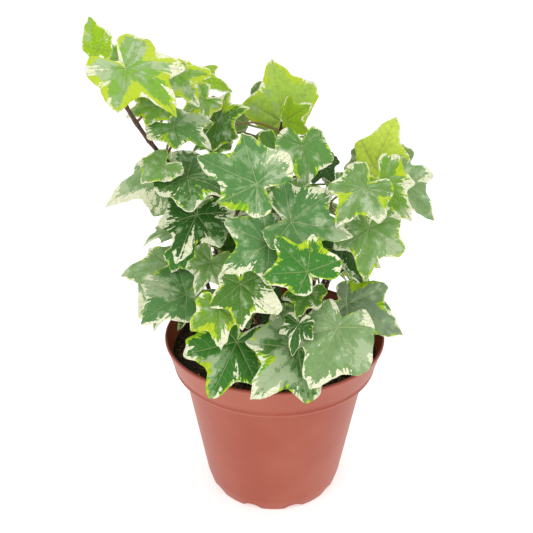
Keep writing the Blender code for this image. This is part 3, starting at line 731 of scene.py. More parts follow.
# %% Clearance helpers
GUARD_STEPS = 48
STRIP_ANGLES = tuple(math.radians(angle) for angle in (0, 45, 90, 135))


def smooth_route(points, per_span):
    """Points read from a smooth curve through a list of points."""
    points = [Vector(point) for point in points]
    ends = [2 * points[0] - points[1]] + points + [2 * points[-1] - points[-2]]
    route = []
    for before, start, end, after in zip(ends, ends[1:], ends[2:], ends[3:]):
        for step in range(per_span):
            share = step / per_span
            even = 2 * start + (end - before) * share
            bend = (2 * before - 5 * start + 4 * end - after) * share ** 2
            twist = (3 * start - before - 3 * end + after) * share ** 3
            route.append((even + bend + twist) / 2)
    return route + [points[-1]]


def stem_route(name, per_span=2):
    """A stem's smooth route, straight as far as the mouth of its hole."""
    foot, *rest = ROUTES[name]
    mouth = (foot[0], foot[1], SOIL_HEIGHT + STEM_MOUTH)
    return smooth_route((foot, mouth, *rest), per_span)


def ribbon(route, half_width):
    """Crossed strips along a route, which stand in for a stalk in clearance tests."""
    points = []
    faces = []
    for start, end in zip(route, route[1:]):
        along = end - start
        side = along.orthogonal().normalized() * half_width
        for angle in STRIP_ANGLES:
            arm = Matrix.Rotation(angle, 3, along) @ side
            first = len(points)
            points += [start - arm, start + arm, end + arm, end - arm]
            faces += [(first, first + 1, first + 2), (first, first + 2, first + 3)]
    return points, faces


def pot_guard():
    """A plain funnel a little proud of the pot and the soil, for clearance tests."""
    profile = (
        (0.5, SOIL_HEIGHT + 2),
        (RIM_RADIUS - 6, SOIL_HEIGHT + 2),
        (RIM_RADIUS - 2, POT_HEIGHT + 0.5),
        (RIM_RADIUS + 0.6, POT_HEIGHT + 0.5),
        (BAND_FOOT_RADIUS + 0.6, BAND_FOOT_HEIGHT),
        (FOOT_RADIUS, 0),
    )
    turns = [math.tau * step / GUARD_STEPS for step in range(GUARD_STEPS)]
    points = [ring_spot(turn, *spot) for spot in profile for turn in turns]
    faces = []
    for first in range(0, GUARD_STEPS * (len(profile) - 1), GUARD_STEPS):
        for step in range(GUARD_STEPS):
            here, after = first + step, first + (step + 1) % GUARD_STEPS
            faces.append((here, after, after + GUARD_STEPS, here + GUARD_STEPS))
    return points, faces


class Crowd:
    """The pieces already in place, so that the next leaf can be bent clear of them."""

    def __init__(self):
        self.kept = []

    def add(self, owner, points, faces):
        self.kept.append((owner, BVHTree.FromPolygons(points, faces)))

    def meets(self, points, faces, passed=()):
        tree = BVHTree.FromPolygons(points, faces)
        return any(owner not in passed and tree.overlap(other) for owner, other in self.kept)


# %% Settle a leaf in its place
BLADE_RINGS = ((1.0,), (0.55, 1.0))
SHIFTS = (0, 1.5, -1.5, 3, -3, 4.5, -4.5, 6, -6, 8, -8, 10, -10)
TILTS = (0, 8, -8, 16, -16, 26, -26)
BOWS = (0, 4, -4, 8, -8, 13, -13)
ROOTS_TRIED = 5
LIFTS = (0, 1.2, -1.2, 0.6, -0.6)
BLADE_MARGIN = 1.02
STALK_ROOM = 1.1
FIRST_NODE = 3
STALK_LEAST = 6
STALK_SHARE = 0.55
NODE_BELOW = 5


def stalk_roots(blade, route):
    """The best few nodes of a stem for a leaf: lower than it and a fair stalk away."""
    wanted = STALK_LEAST + STALK_SHARE * blade.length
    scored = []
    for point in route[FIRST_NODE:]:
        gap = (blade.junction - point).length
        too_high = max(0, point.z + NODE_BELOW - blade.junction.z)
        scored.append((abs(gap - wanted) + 2 * too_high, len(scored), point))
    return [point for _, _, point in sorted(scored)[:ROOTS_TRIED]]


def settle(leaf, crowd, route):
    """Bends a leaf clear of its neighbours. Returns its blade and stalk, or None."""
    turn, tilt = leaf.facing
    own = (f"{leaf.stem} stem", f"{leaf.stem} stalk")
    for extra in TILTS:
        for shift in SHIFTS:
            blade = Blade(leaf._replace(facing=(turn, tilt + extra)))
            blade.junction += blade.face * shift
            grown = [[share * BLADE_MARGIN for share in ring] for ring in BLADE_RINGS]
            sheets = [blade.sheet(shares, lift) for shares in grown for lift in LIFTS]
            if any(crowd.meets(*sheet) for sheet in sheets):
                continue
            for root in stalk_roots(blade, route):
                for bow in BOWS:
                    stalk = blade.stalk(root, bow)
                    if not crowd.meets(*ribbon(stalk, PETIOLE_RADIUS + STALK_ROOM), passed=own):
                        return blade, stalk
    return None


# %% [markdown]
# The sides, the back and the inside of the plant follow a rule: leaves are laid like
# roof tiles over three egg-shaped mounds, each leaf a golden angle further round,
# which never lines them up in rows.

# %% Leaves by rule
Layer = namedtuple("Layer", "centre radii leaves shortest longest nearest")
MOUND_LAYERS = (
    Layer((-4, 10, 106), (51, 55, 58), 40, 22, 29, -12),
    Layer((-3, 6, 110), (34, 34, 38), 22, 15, 21, -45),
    Layer((-2, 0, 144), (33, 30, 44), 26, 16, 22, -60),
)
GOLDEN_ANGLE = math.radians(137.508)
LOWEST_RISE = 0.02
RISE_SPAN = 0.93
TURN_SWING = 20
TILT_ADDED = (20, 40)
TIP_SLOPE = 0.5
TIP_SWING = 40
LOBE_RANGE = (0.85, 1.1)


def mound_leaves(routes):
    """Leaves for the sides, the back and the inside, laid like roof tiles on a mound."""
    for number, layer in enumerate(MOUND_LAYERS):
        for index in range(layer.leaves):
            chance = random.Random(f"mound {number} {index}")
            azimuth = index * GOLDEN_ANGLE + number
            rise = math.asin(LOWEST_RISE + RISE_SPAN * (index + 0.5) / layer.leaves)
            level = ring_spot(azimuth, 1, 0)
            outward = level * math.cos(rise) + Vector((0, 0, math.sin(rise)))
            junction = Vector(layer.centre) + outward * Vector(layer.radii)
            if junction.y < layer.nearest:
                continue
            swing = chance.uniform(-TURN_SWING, TURN_SWING)
            turn = math.degrees(math.atan2(level.x, -level.y)) + swing
            tilt = math.degrees(rise) * 0.5 + chance.uniform(*TILT_ADDED)
            down = rise + TIP_SLOPE
            slope = level * math.sin(down) - Vector((0, 0, math.cos(down)))
            swing = math.radians(chance.uniform(-TIP_SWING, TIP_SWING))
            slope.rotate(Matrix.Rotation(swing, 3, outward))
            tip = junction + slope * chance.uniform(layer.shortest, layer.longest)
            gaps = {name: min((point - junction).length for point in route)
                    for name, route in routes.items()}
            stem = min(gaps, key=gaps.get)
            outline = chance.choice(("lobed", "lobed", "broad"))
            lobes = [chance.uniform(*LOBE_RANGE) for _ in range(4)]
            name = f"mound_{number}_{index}"
            yield Leaf(stem, name, junction, tip, (turn, tilt), outline, lobes)


def all_leaves(routes):
    """The listed leaves and then those by rule, in the order in which they settle."""
    for name, *row in table(LEAVES):
        if name in routes:
            stem = name
        else:
            yield Leaf(stem, name, row[:3], row[3:6], row[6:8], row[8], row[9:])
    yield from mound_leaves(routes)


def plant():
    """For each stem, its settled leaves as (blade, stalk)."""
    routes = {name: stem_route(name) for name in ROUTES}
    crowd = Crowd()
    crowd.add("pot", *pot_guard())
    for name, route in routes.items():
        crowd.add(f"{name} stem", *ribbon(route, STEM_RADIUS))
    grown = {name: [] for name in routes}
    for leaf in all_leaves(routes):
        found = settle(leaf, crowd, routes[leaf.stem])
        if found is None:
            continue
        blade, stalk = found
        grown[leaf.stem].append(found)
        for shares in BLADE_RINGS:
            crowd.add(f"{leaf.stem} blade", *blade.sheet(shares))
        crowd.add(f"{leaf.stem} stalk", *ribbon(stalk, PETIOLE_RADIUS))
    return grown


grown = plant()
print("leaves:", sum(len(leaves) for leaves in grown.values()), "on", len(grown), "stems")

# %% [markdown]
# ## How each leaf is coloured
# No two leaves of this ivy are alike: old ones are grey-green with a thin cream edge,
# young ones lime, and some have a whole lobe without green. A row of styles holds a
# body colour, the width of the cream margin, how much lime and grey there is, and how
# young the lime looks. A row of looks names a leaf's style and its washes. Each wash
# adds one kind of marking in a sector, by the sector's angle from the middle lobe and
# its spread, in degrees towards the left lobes, and by its strength.

# %% Styles and washes
# The backlit and glowing styles are lime leaf colour with painted light: brighter body colours for
# leaves lit through from behind.
# The dark style is painted shade: leaf green darkened for leaves tucked into the plant's shade.
STYLES = """
young 150 192 6  0.012 0.6 0.1 0.9
sunny 124 176 44  0.042 0.85 0.5 0.9
backlit 174 210 76  0.016 0.8 0.3 0.9
glowing 208 232 82  0.012 0.6 0.2 1.0
patched 118 166 50  0.024 0.8 0.42 0.5
leafy 84 136 40  0.018 0.7 0.3 0.2
mid 92 142 62  0.024 0.6 0.4 0.1
soft 120 164 80  0.026 0.65 0.44 0.3
grey 90 142 74  0.024 0.55 0.42 0.1
pale 124 158 98  0.03 0.4 0.52 0.1
blue 134 158 122  0.01 0.6 0.45 0
deep 74 122 50  0.03 0.55 0.42 0
dark 38 82 16  0.012 0.2 0.15 0
bright 62 130 38  0.02 0.75 0.3 0.1
edged 46 102 26  0.06 0.45 0.25 0
olive 108 128 56  0.034 0.2 0.4 0
"""
LOOKS = """
crown young  grey 20 35 0.5  cream -60 25 0.4
top_behind young
lime_small young
top sunny  lime 80 22 0.7  lime -30 14 0.6  grey 120 30 0.4  grey -113 30 0.4
top_under sunny  grey -20 30 0.4  lime 60 40 0.3
tall_fill sunny
lime_upright backlit
right_lime glowing
crown_back patched
tall_tuft patched
back_lime patched
right_band patched  cream 51 14 0.6  lime 84 14 0.4
centre_low patched  cream 6 6 0.5  lime -20 35 0.4
lime_dark leafy  lime 35 40 0.75  grey -60 30 0.3  cream 60 12 0.4
shaded leafy
fresh leafy  cream 40 18 0.5  cream -51 12 0.4
centre_cream leafy  cream 56 28 0.75  lime 40 20 0.3
sweep_back leafy
heart mid  grey -60 28 0.6  lime -27 10 0.5  lime 27 8 0.3
middle mid  grey 75 30 0.5  lime -84 18 0.6  cream 150 30 0.4
sweep_under mid
gap_right mid
right_front soft  lime -27 14 0.6  lime 84 14 0.5  grey 51 25 0.4
shoulder soft  grey 51 26 0.5  cream -20 12 0.3
elbow_small soft
left_streaked soft  cream -20 8 0.5  cream 32 9 0.5  grey 60 25 0.4
broad_grey grey  grey 0 22 0.3
centre_grey grey
sweep grey  lime 70 35 0.4  grey -113 30 0.6  cream -100 18 0.4
left_smooth grey  grey -51 26 0.4  cream -60 16 0.3
pale_broad pale  cream -24 10 0.4  grey -4 24 -0.5  grey 70 30 0.3
right_grey pale
left_far pale  cream 51 20 0.4  lime -51 25 0.3
left_edge_on pale
elbow_long pale  cream 51 22 0.45  lime 84 18 0.4  grey -10 25 0.3
blue_green blue  lime 95 20 0.6  lime 28 9 0.4  lime -100 16 0.3
elbow_front deep  grey 51 24 0.5  cream -84 26 0.35  lime -30 16 0.4
rim_middle deep  lime -27 13 0.5  lime 80 18 0.5  grey 0 34 0.5  grey -90 30 0.5
centre_dark dark
tucked dark  cream -40 22 0.4
heart_behind dark
bright bright  lime -51 22 0.4
rim_left bright  cream 22 7 0.55  grey -20 25 0.4  lime 84 20 0.4
left_curled bright
small_dark edged
left_folded edged  cream -80 60 0.6
left_dark edged  cream -51 22 0.5  grey 51 26 0.35
olive olive  cream 40 14 0.5  cream -70 14 0.5
"""
COMMON_STYLES = ("mid", "mid", "grey", "grey", "deep", "leafy", "soft", "patched", "pale")
Style = namedtuple("Style", "tone cream lime grey youth")
WASH_COLUMNS = 4

styles = {name: Style(colour(*row[:3]), *row[3:]) for name, *row in table(STYLES)}
looks = {}
for name, style, *row in table(LOOKS):
    washes = [row[first:first + WASH_COLUMNS] for first in range(0, len(row), WASH_COLUMNS)]
    looks[name] = (style, washes)
print("styles:", len(styles), "leaves with a look of their own:", len(looks))


def look_of(leaf):
    """A leaf's style and its washes. A leaf that isn't listed draws a common style."""
    chance = random.Random(f"{leaf.name} style")
    name, washes = looks.get(leaf.name) or (chance.choice(COMMON_STYLES), ())
    return styles[name], washes


# %% [markdown]
# ## A fine outline
# Straight lines between the corners would look cut with scissors. A smooth curve
# through them rounds the bays and the shoulders, a short tangent at each lobe's tip
# keeps it pointed, and shallow dents make the rim uneven.

# %% The smooth margin of a blade
POINTS_PER_SPAN = 7
ROUNDNESS = (0.35, 1.0, 1.0, 0.5, 1.0, 1.0, 0.75, 1.0, 0.4)
BAYS = (0.0, 0.3, 1.0, 0.0, 0.3, 1.0, 0.1, 0.2, 0.6)
RIM_UNEVEN = 0.07
RIM_DENTED = 0.3
RIM_CHANGES = 7.0
MarginPoint = namedtuple("MarginPoint", "angle reach slant bay")


def eased(start, end, out_of, into, share):
    """A point of the curve between two corners with the given tangents."""
    lead = share ** 3 - 2 * share ** 2 + share
    trail = share ** 3 - share ** 2
    rise = 3 * share ** 2 - 2 * share ** 3
    return start * (1 - rise) + end * rise + out_of * lead + into * trail


def margin(blade):
    """The blade's rim, once round from the tip, with how deep in a bay each point lies."""
    corners = [ring_spot(angle, reach, 0).xy for angle, reach in blade.rim()]
    count = len(corners)
    roles = [*range(len(ANGLES)), *range(len(ANGLES) - 2, 0, -1)]
    tangents = []
    for index, role in enumerate(roles):
        chord = corners[(index + 1) % count] - corners[index - 1]
        tangents.append(chord / 2 * ROUNDNESS[role])
    spots = []
    for index in range(count):
        after = (index + 1) % count
        for step in range(POINTS_PER_SPAN):
            share = step / POINTS_PER_SPAN
            spot = eased(corners[index], corners[after], tangents[index], tangents[after], share)
            wave = noise.noise(Vector((spot.x, spot.y, blade.phase)) * RIM_CHANGES)
            bay = BAYS[roles[index]] * (1 - share) + BAYS[roles[after]] * share
            spots.append((spot * (1 - RIM_UNEVEN * max(0, RIM_DENTED + wave)), bay))
    points = []
    for index, (spot, bay) in enumerate(spots):
        run = spots[(index + 1) % len(spots)][0] - spots[index - 1][0]
        slant = abs(spot.cross(run)) / (spot.length * run.length)
        points.append(MarginPoint(math.atan2(spot.y, spot.x), spot.length, slant, bay))
    return points


# %% [markdown]
# ## The relief of a blade
# The main veins run from the junction to the five lobe tips and lie in shallow
# valleys, the tissue between them swells, and the margin ripples. All of it is a small
# height over the blade's own arched form, worked out for any point of it.

# %% Height over the plain blade, as a share of the leaf's length
LOBE_ANGLES = tuple(math.radians(angle) for angle in (0, 51, 113))
VEIN_SINK = 0.016
VEIN_WIDTH = 0.035
VEIN_FADE = 0.7
SWELL = 0.05
SWELL_FADE = 0.4
SWELL_TURN = math.radians(28)
PUCKER = 0.016
PUCKER_WIDTH = 0.2
RIPPLE = 0.014
RIPPLES = 9
DROOP = 0.05
DROOPS = (-0.4, 1)


def vein_turn(angle):
    """The angle between a direction and the nearest main vein."""
    return min(abs(abs(angle) - lobe) for lobe in LOBE_ANGLES)


def relief(blade, angle, out, share):
    chance = random.Random(f"{blade.leaf.name} relief")
    phase, droop = chance.uniform(0, math.tau), chance.uniform(*DROOPS)
    turn = vein_turn(angle)
    depth = math.exp(-((out * math.sin(turn)) / VEIN_WIDTH) ** 2)
    valley = VEIN_SINK * depth * (1 - VEIN_FADE * share)
    round_up = math.sin(min(1, turn / SWELL_TURN) * math.pi / 2) ** 2
    swell = SWELL * out * round_up * (1 - SWELL_FADE * share)
    spot = ring_spot(angle, out, phase) / PUCKER_WIDTH
    pucker = PUCKER * noise.noise(spot) * min(1, 3 * share)
    ripple = RIPPLE * share ** 5 * math.sin(RIPPLES * angle + phase)
    return swell - valley + pucker + ripple - DROOP * droop * (share * out) ** 3


# %% [markdown]
# ## Painting the blade's points
# A shader can't tell how far it is from a leaf's edge, so the strength of cream, lime
# and grey is written on the points. The shader adds fine noise to these soft values
# and cuts them off sharply, which gives the jagged borders of a real variegated leaf.
# Noise round the rim makes the cream margin wide in one place and absent in another.

# %% The strength of each marking at a point
KINDS = ("cream", "lime", "grey")
MARGIN_CHANGES = 1.9
MARGIN_SOFTNESS = 3.0
MARGIN_USUAL = 1.5
MARGIN_VARIES = 5
MARGIN_LIMITS = (0.15, 4.2)
GAP_CHANGES = 1.6
GAP_USUAL = 0.95
GAP_VARIES = 2.4
BAY_BARENESS = 0.35
LIME_WIDER = 2.4
LIME_REACH = 0.2
LIME_OUT_OF_BAYS = 0.25
WASH_START = 0.12
WASH_RISE = 0.5


def sector(angle, centre, spread):
    off = (angle - math.radians(centre) + math.pi) % math.tau - math.pi
    return math.exp(-((off / math.radians(spread)) ** 2))


def markings(blade, style, washes, point, share):
    """The strengths of cream, lime and grey at a point of the blade."""
    edge = (1 - share) * point.reach * point.slant
    side = ring_spot(point.angle, 1, blade.phase) * MARGIN_CHANGES
    width = style.cream * held(MARGIN_USUAL + MARGIN_VARIES * noise.noise(side), *MARGIN_LIMITS)
    present = held(GAP_USUAL + GAP_VARIES * noise.noise(side * GAP_CHANGES))
    bare = 1 - BAY_BARENESS * point.bay
    near = present * bare * held(1 - edge / (MARGIN_SOFTNESS * width))
    bays = LIME_REACH * style.lime * (LIME_OUT_OF_BAYS + point.bay)
    lime_width = style.cream * LIME_WIDER + bays
    nearly = held(1 - edge / lime_width)
    strength = {"cream": near, "lime": nearly * style.lime, "grey": style.grey}
    reach = held((share - WASH_START) / WASH_RISE)
    for kind, centre, spread, amount in washes:
        strength[kind] += amount * sector(point.angle, centre, spread) * reach
    return Vector([strength[kind] for kind in KINDS])


# %% [markdown]
# ## Making the blades
# One flat disc of rings is made with operators and duplicated for every leaf of a
# stem; each copy's points are moved to the blade's outline and relief. The discs are
# open sheets, and a Solidify modifier gives them a leaf's 0.35 mm and its underside a
# material of its own.

# %% A disc of rings and its copies
RINGS = (0.06, 0.15, 0.25, 0.36, 0.47, 0.58, 0.68, 0.77, 0.85, 0.915, 0.965, 1.0)
LEAF_THICKNESS = 0.35
NOISE_SHIFT = 40
SHADE_SHARES = (0.96, 1.2)


def ringed_disc(bm, steps, shares):
    """Adds a flat disc of rings of points with the given radii, inmost first."""
    points = bmesh.ops.create_circle(bm, segments=steps, radius=shares[-1])["verts"]
    edges = list({edge for point in points for edge in point.link_edges})
    inwards = (*reversed(shares), 0)
    for before, share in zip(inwards, inwards[1:]):
        made = bmesh.ops.extrude_edge_only(bm, edges=edges)["geom"]
        points = {piece for piece in made if isinstance(piece, bmesh.types.BMVert)}
        edges = [edge for edge in bm.edges if set(edge.verts) <= points]
        bmesh.ops.scale(bm, verts=list(points), vec=Vector((1, 1, 1)) * share / before)
    bmesh.ops.pointmerge(bm, verts=list(points), merge_co=(0, 0, 0))


def lay_blade(bm, disc, layers, blade):
    """Bends a copy of the disc to a blade, with its markings on its points."""
    copy = bmesh.ops.duplicate(bm, geom=disc)["geom"]
    rim = margin(blade)
    style, washes = look_of(blade.leaf)
    chance = random.Random(f"{blade.leaf.name} shade")
    shift = Vector([chance.uniform(0, NOISE_SHIFT) for _ in range(3)])
    shade_share = chance.uniform(*SHADE_SHARES)
    tone = tuple(value * shade_share for value in style.tone[:3]) + (style.youth,)
    flat = {}
    for vertex in (item for item in copy if isinstance(item, bmesh.types.BMVert)):
        share = vertex.co.length
        step = round(math.atan2(vertex.co.y, vertex.co.x) / math.tau * len(rim))
        point = rim[step % len(rim)]
        out = share * point.reach
        lift = relief(blade, point.angle, out, share) * blade.length
        vertex[layers["paint"]] = markings(blade, style, washes, point, share)
        vertex[layers["tone"]] = tone
        vertex[layers["shift"]] = shift
        vertex.co = blade.place(point.angle, point.reach, share, lift)
        flat[vertex] = ring_spot(point.angle, out, 0).xy
    for face in (item for item in copy if isinstance(item, bmesh.types.BMFace)):
        for loop in face.loops:
            loop[layers["uv"]].uv = flat[loop.vert]


def leaves_of(stem, leaves, upper, under):
    bm = bmesh.new()
    layers = {
        "paint": bm.verts.layers.float_vector.new("paint"),
        "tone": bm.verts.layers.float_color.new("tone"),
        "shift": bm.verts.layers.float_vector.new("shift"),
        "uv": bm.loops.layers.uv.new("blade"),
    }
    ringed_disc(bm, 2 * (len(ANGLES) - 1) * POINTS_PER_SPAN, RINGS)
    points = list(bm.verts)
    disc = points + list(bm.edges) + list(bm.faces)
    for blade, _ in leaves:
        lay_blade(bm, disc, layers, blade)
    bmesh.ops.delete(bm, geom=points, context="VERTS")
    piece = piece_from(f"{stem}_leaves", bm, upper, under)
    solidify = piece.modifiers.new("thickness", "SOLIDIFY")
    solidify.thickness = LEAF_THICKNESS * METRES_PER_MM
    solidify.offset = 0
    solidify.material_offset = 1
    piece.data.shade_smooth()
    return piece


# %% [markdown]
# ## The finish of a leaf
# The recipe works in the leaf's own flat coordinates, in which the junction is the
# middle and the tip of the middle lobe is one away. The nearest main vein is found by
# angle, side veins are slanted lines beside it, and the markings are the soft values
# from the points plus noise that is stretched along the veins.

# %% Leaf shades
CREAM = colour(246, 245, 216)
LIME = colour(192, 216, 30)
LIME_DEEP = colour(98, 176, 14)
GREY_GREEN = colour(158, 188, 136)
PALE_GREY = colour(206, 220, 180)
VEIN = colour(204, 220, 150)
UNDERSIDE = colour(176, 200, 140)
DEEP_GREEN = colour(26, 68, 10)
MASK_EDGES = (0.48, 0.52)
SIDE_VEIN_GAP = 0.13
SIDE_VEIN_SLANT = 0.75


def vein_lines(leaf, flat, reach, angle):
    """The main veins and the side veins as two masks."""
    turned = leaf.maths("ABSOLUTE", angle)
    turns = [leaf.maths("ABSOLUTE", leaf.add(turned, -lobe)) for lobe in LOBE_ANGLES]
    nearest = leaf.maths("MINIMUM", leaf.maths("MINIMUM", turns[0], turns[1]), turns[2])
    across = leaf.times(reach, leaf.maths("SINE", nearest))
    along = leaf.times(reach, leaf.maths("COSINE", nearest))
    width = leaf.ramp(reach, 0, 0.9, 0.014, 0.005)
    main = leaf.ramp(leaf.maths("DIVIDE", across, width), 0.35, 1.0, 1, 0)
    slanted = leaf.maths("SUBTRACT", along, leaf.times(across, SIDE_VEIN_SLANT))
    wobble = leaf.times(leaf.noise(flat, 6, 1), 0.8)
    steps = leaf.add(leaf.times(slanted, 1 / SIDE_VEIN_GAP), wobble)
    off = leaf.maths("ABSOLUTE", leaf.add(leaf.maths("FRACT", steps), -0.5))
    fade = leaf.ramp(across, 0.02, 0.24, 1, 0)
    side = leaf.times(leaf.ramp(off, 0.02, 0.09, 1, 0), fade)
    return main, side


def marked(leaf, strength, *noises):
    """A mask with a sharp, ragged border where the strength plus its noise passes a half."""
    total = strength
    for value, weight in noises:
        total = leaf.add(total, leaf.times(leaf.add(value, -0.5), weight))
    return leaf.ramp(total, *MASK_EDGES)


def leaf_finish(name, paleness):
    leaf = Finish(name)
    flat = leaf.node("ShaderNodeUVMap", uv_map="blade").outputs[0]
    shift = leaf.attribute("shift")
    cream, lime, grey = leaf.split(leaf.attribute("paint"))
    x, y, _ = leaf.split(flat)
    reach = leaf.maths("SQRT", leaf.add(leaf.times(x, x), leaf.times(y, y)))
    angle = leaf.maths("ARCTAN2", y, x)
    main, side = vein_lines(leaf, flat, reach, angle)

    wide = leaf.joined(leaf.times(angle, 1.5), leaf.times(reach, 1.1))
    sectors = leaf.noise(leaf.vector("ADD", wide, shift), 2.3, 3, 0.6)
    long = leaf.joined(leaf.times(angle, 9), leaf.times(reach, 4))
    streaks = leaf.noise(leaf.vector("ADD", long, shift), 1.6, 3)
    placed = leaf.vector("ADD", flat, shift)
    blotches = leaf.noise(placed, 4.2, 3, 0.55)
    fine = leaf.noise(placed, 16, 4, 0.65)
    specks = leaf.noise(placed, 42, 2, 0.6)

    mottles = leaf.ramp(fine, 0.3, 0.7, 0, 0.22)
    body = leaf.blend(mottles, leaf.attribute("tone", "Color"), DEEP_GREEN)
    grey_mask = marked(leaf, grey, (sectors, 1.3), (blotches, 1.4), (fine, 0.4))
    pale_mask = marked(leaf, leaf.add(grey, -0.2), (sectors, 1.3), (blotches, 1.4), (fine, 0.6))
    tint = leaf.blend(leaf.times(grey_mask, 0.5), body, GREY_GREEN)
    tint = leaf.blend(leaf.times(pale_mask, 0.5), tint, PALE_GREY)
    youth = leaf.attribute("tone", "Alpha")
    lime_share = leaf.add(leaf.ramp(streaks, 0.35, 0.65), youth)
    lime_tint = leaf.blend(leaf.maths("MINIMUM", lime_share, 1), LIME_DEEP, LIME)
    lime_mask = marked(leaf, lime, (streaks, 0.9), (fine, 0.9))
    tint = leaf.blend(lime_mask, tint, lime_tint)
    cream_mask = marked(leaf, cream, (streaks, 1.5), (fine, 0.9))
    speckled = leaf.blend(leaf.ramp(specks, 0.56, 0.62, 0, 0.8), CREAM, lime_tint)
    tint = leaf.blend(cream_mask, tint, speckled)
    vein_share = leaf.maths("MAXIMUM", leaf.times(main, 0.5), leaf.times(side, 0.18))
    tint = leaf.blend(vein_share, tint, VEIN)
    if paleness:
        tint = leaf.blend(paleness, tint, UNDERSIDE)
    leaf.give("Base Color", tint)

    leaf.give("Roughness", leaf.ramp(fine, 0.3, 0.7, 0.42, 0.54))
    leaf.give("Specular IOR Level", 0.32)
    cells = leaf.noise(placed, 30, 2)
    height = leaf.add(leaf.times(cells, 0.35), leaf.times(fine, 0.3))
    sunk = leaf.add(leaf.times(main, 0.6), leaf.times(side, 0.45))
    height = leaf.add(height, sunk) if paleness else leaf.maths("SUBTRACT", height, sunk)
    leaf.bump(height, 0.0005, 0.8)
    return leaf.material


# %% [markdown]
# ## Stems and leaf stalks
# A tube is a ring of points extruded from station to station along a route, turned
# each time by the route's own change of direction so that it never twists. Each end
# is drawn to a point.

# %% Sweep a ring along a route
STEM_SIDES = 14
STALK_SIDES = 8
STEM_STEPS = 9
STALK_STEPS = 6
STALK_TAPER = (0.85, 0.75, 0.65, 0.4)
STALK_AGES = (0.0, 0.5)
NODE_SWELLING = 0.35
NODE_REACH = 3.0


def sweep(bm, route, radii, sides, age, layer):
    """Adds a closed tube along a route, with an age on its points for the finish."""
    turn = (route[1] - route[0]).to_track_quat("Z", "Y")
    ring = bmesh.ops.create_circle(bm, segments=sides, radius=1)["verts"]
    shape = [vertex.co.copy() for vertex in ring]
    edges = list({edge for vertex in ring for edge in vertex.link_edges})
    first = list(ring)
    for index, (place, radius) in enumerate(zip(route, radii)):
        if index:
            ahead = route[min(index + 1, len(route) - 1)] - route[index - 1]
            turn = (turn @ Vector((0, 0, 1))).rotation_difference(ahead) @ turn
            made = bmesh.ops.extrude_edge_only(bm, edges=edges)["geom"]
            edges = [item for item in made if isinstance(item, bmesh.types.BMEdge)]
            fresh = {item for item in made if isinstance(item, bmesh.types.BMVert)}
            edges = [edge for edge in edges if set(edge.verts) <= fresh]
            ends = [[edge.other_vert(old) for edge in old.link_edges] for old in ring]
            ring = [next(end for end in choice if end in fresh) for choice in ends]
        for vertex, spot in zip(ring, shape):
            vertex.co = place + turn @ spot * radius
            vertex[layer] = age
    for end, spot in ((first, route[0]), (ring, route[-1])):
        faces = bmesh.ops.contextual_create(bm, geom=end)["faces"]
        bmesh.ops.poke(bm, faces=faces)


def swollen(point, leaves):
    """How much thicker the stem is at a point, because a leaf grows from it."""
    gap = min(((stalk[0] - point).length for _, stalk in leaves), default=NODE_REACH)
    return 1 + NODE_SWELLING * max(0, 1 - gap / NODE_REACH)


def wood_of(stem, leaves, material):
    bm = bmesh.new()
    layer = bm.verts.layers.float.new("age")
    route = stem_route(stem, STEM_STEPS)
    radii = [STEM_RADIUS * (1 - STEM_TAPER * index / len(route)) * swollen(point, leaves)
             for index, point in enumerate(route)]
    sweep(bm, route, radii, STEM_SIDES, 1.0, layer)
    for blade, stalk in leaves:
        under_sheet = blade.face * (LEAF_THICKNESS / 2 + VEIN_SINK * blade.length)
        line = smooth_route(stalk[:-1] + [stalk[-1] - under_sheet], STALK_STEPS)
        spans = len(STALK_TAPER) - 1
        thin = []
        for index in range(len(line)):
            share = index / (len(line) - 1) * spans
            low = min(int(share), spans - 1)
            taper = STALK_TAPER[low] + (STALK_TAPER[low + 1] - STALK_TAPER[low]) * (share - low)
            thin.append(PETIOLE_RADIUS * taper)
        age = random.Random(f"{blade.leaf.name} stalk").uniform(*STALK_AGES)
        sweep(bm, line, thin, STALK_SIDES, age, layer)
    bmesh.ops.recalc_face_normals(bm, faces=bm.faces)
    piece = piece_from(f"{stem}_wood", bm, material)
    shade(piece, 60)
    return piece


# %% [markdown]
# Ivy wood is dark brown with paler flecks and a fine grain along it, and its leaf
# stalks run from green to a dull pink. One finish serves both: the age on the points
# picks the shade.

# %% The finish of the wood
WOOD_DARK = colour(50, 28, 18)
WOOD_LIGHT = colour(108, 70, 46)
WOOD_FLECK = colour(178, 146, 112)
GRAIN_STRETCH = (900, 900, 160)
STALK_GREEN = colour(140, 164, 84)
STALK_PINK = colour(146, 96, 70)


def wood_finish():
    wood = Finish("ivy_wood")
    place = wood.position()
    age = wood.attribute("age", "Fac")
    grain = wood.noise(wood.vector("MULTIPLY", place, GRAIN_STRETCH), 1, 3)
    flecks = wood.noise(place, 1500, 2)
    bark = wood.blend(wood.ramp(grain, 0.35, 0.7), WOOD_DARK, WOOD_LIGHT)
    bark = wood.blend(wood.ramp(flecks, 0.68, 0.75, 0, 0.7), bark, WOOD_FLECK)
    stalk = wood.blend(wood.ramp(age, 0.0, 0.5), STALK_GREEN, STALK_PINK)
    wood.give("Base Color", wood.blend(wood.ramp(age, 0.6, 0.9), stalk, bark))
    wood.give("Roughness", wood.ramp(grain, 0.3, 0.7, 0.45, 0.65))
    wood.bump(wood.add(grain, flecks), 0.0002, 0.6)
    return wood.material


# %% Dress every stem
upper = leaf_finish("ivy_leaf_upper", 0.0)
under = leaf_finish("ivy_leaf_under", 0.5)
wood = wood_finish()
for stem, leaves in grown.items():
    blades = leaves_of(stem, leaves, upper, under)
    sticks = wood_of(stem, leaves, wood)
    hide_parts(stem)
    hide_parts(stem)
    for piece in (blades, sticks):
        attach(piece, "root")
    counts = [triangle_count(piece) for piece in (blades, sticks)]
    print(stem, len(leaves), "leaves,", *counts, "triangles")

# %% [markdown]
# ## Floor, light and camera
# The plant stands on a plain pale floor in soft light from all sides, as in a
# catalogue photo. Big lamps give soft-edged shading, and an even white world fills in
# the shadows. The camera stands close to the pot and looks down on it.

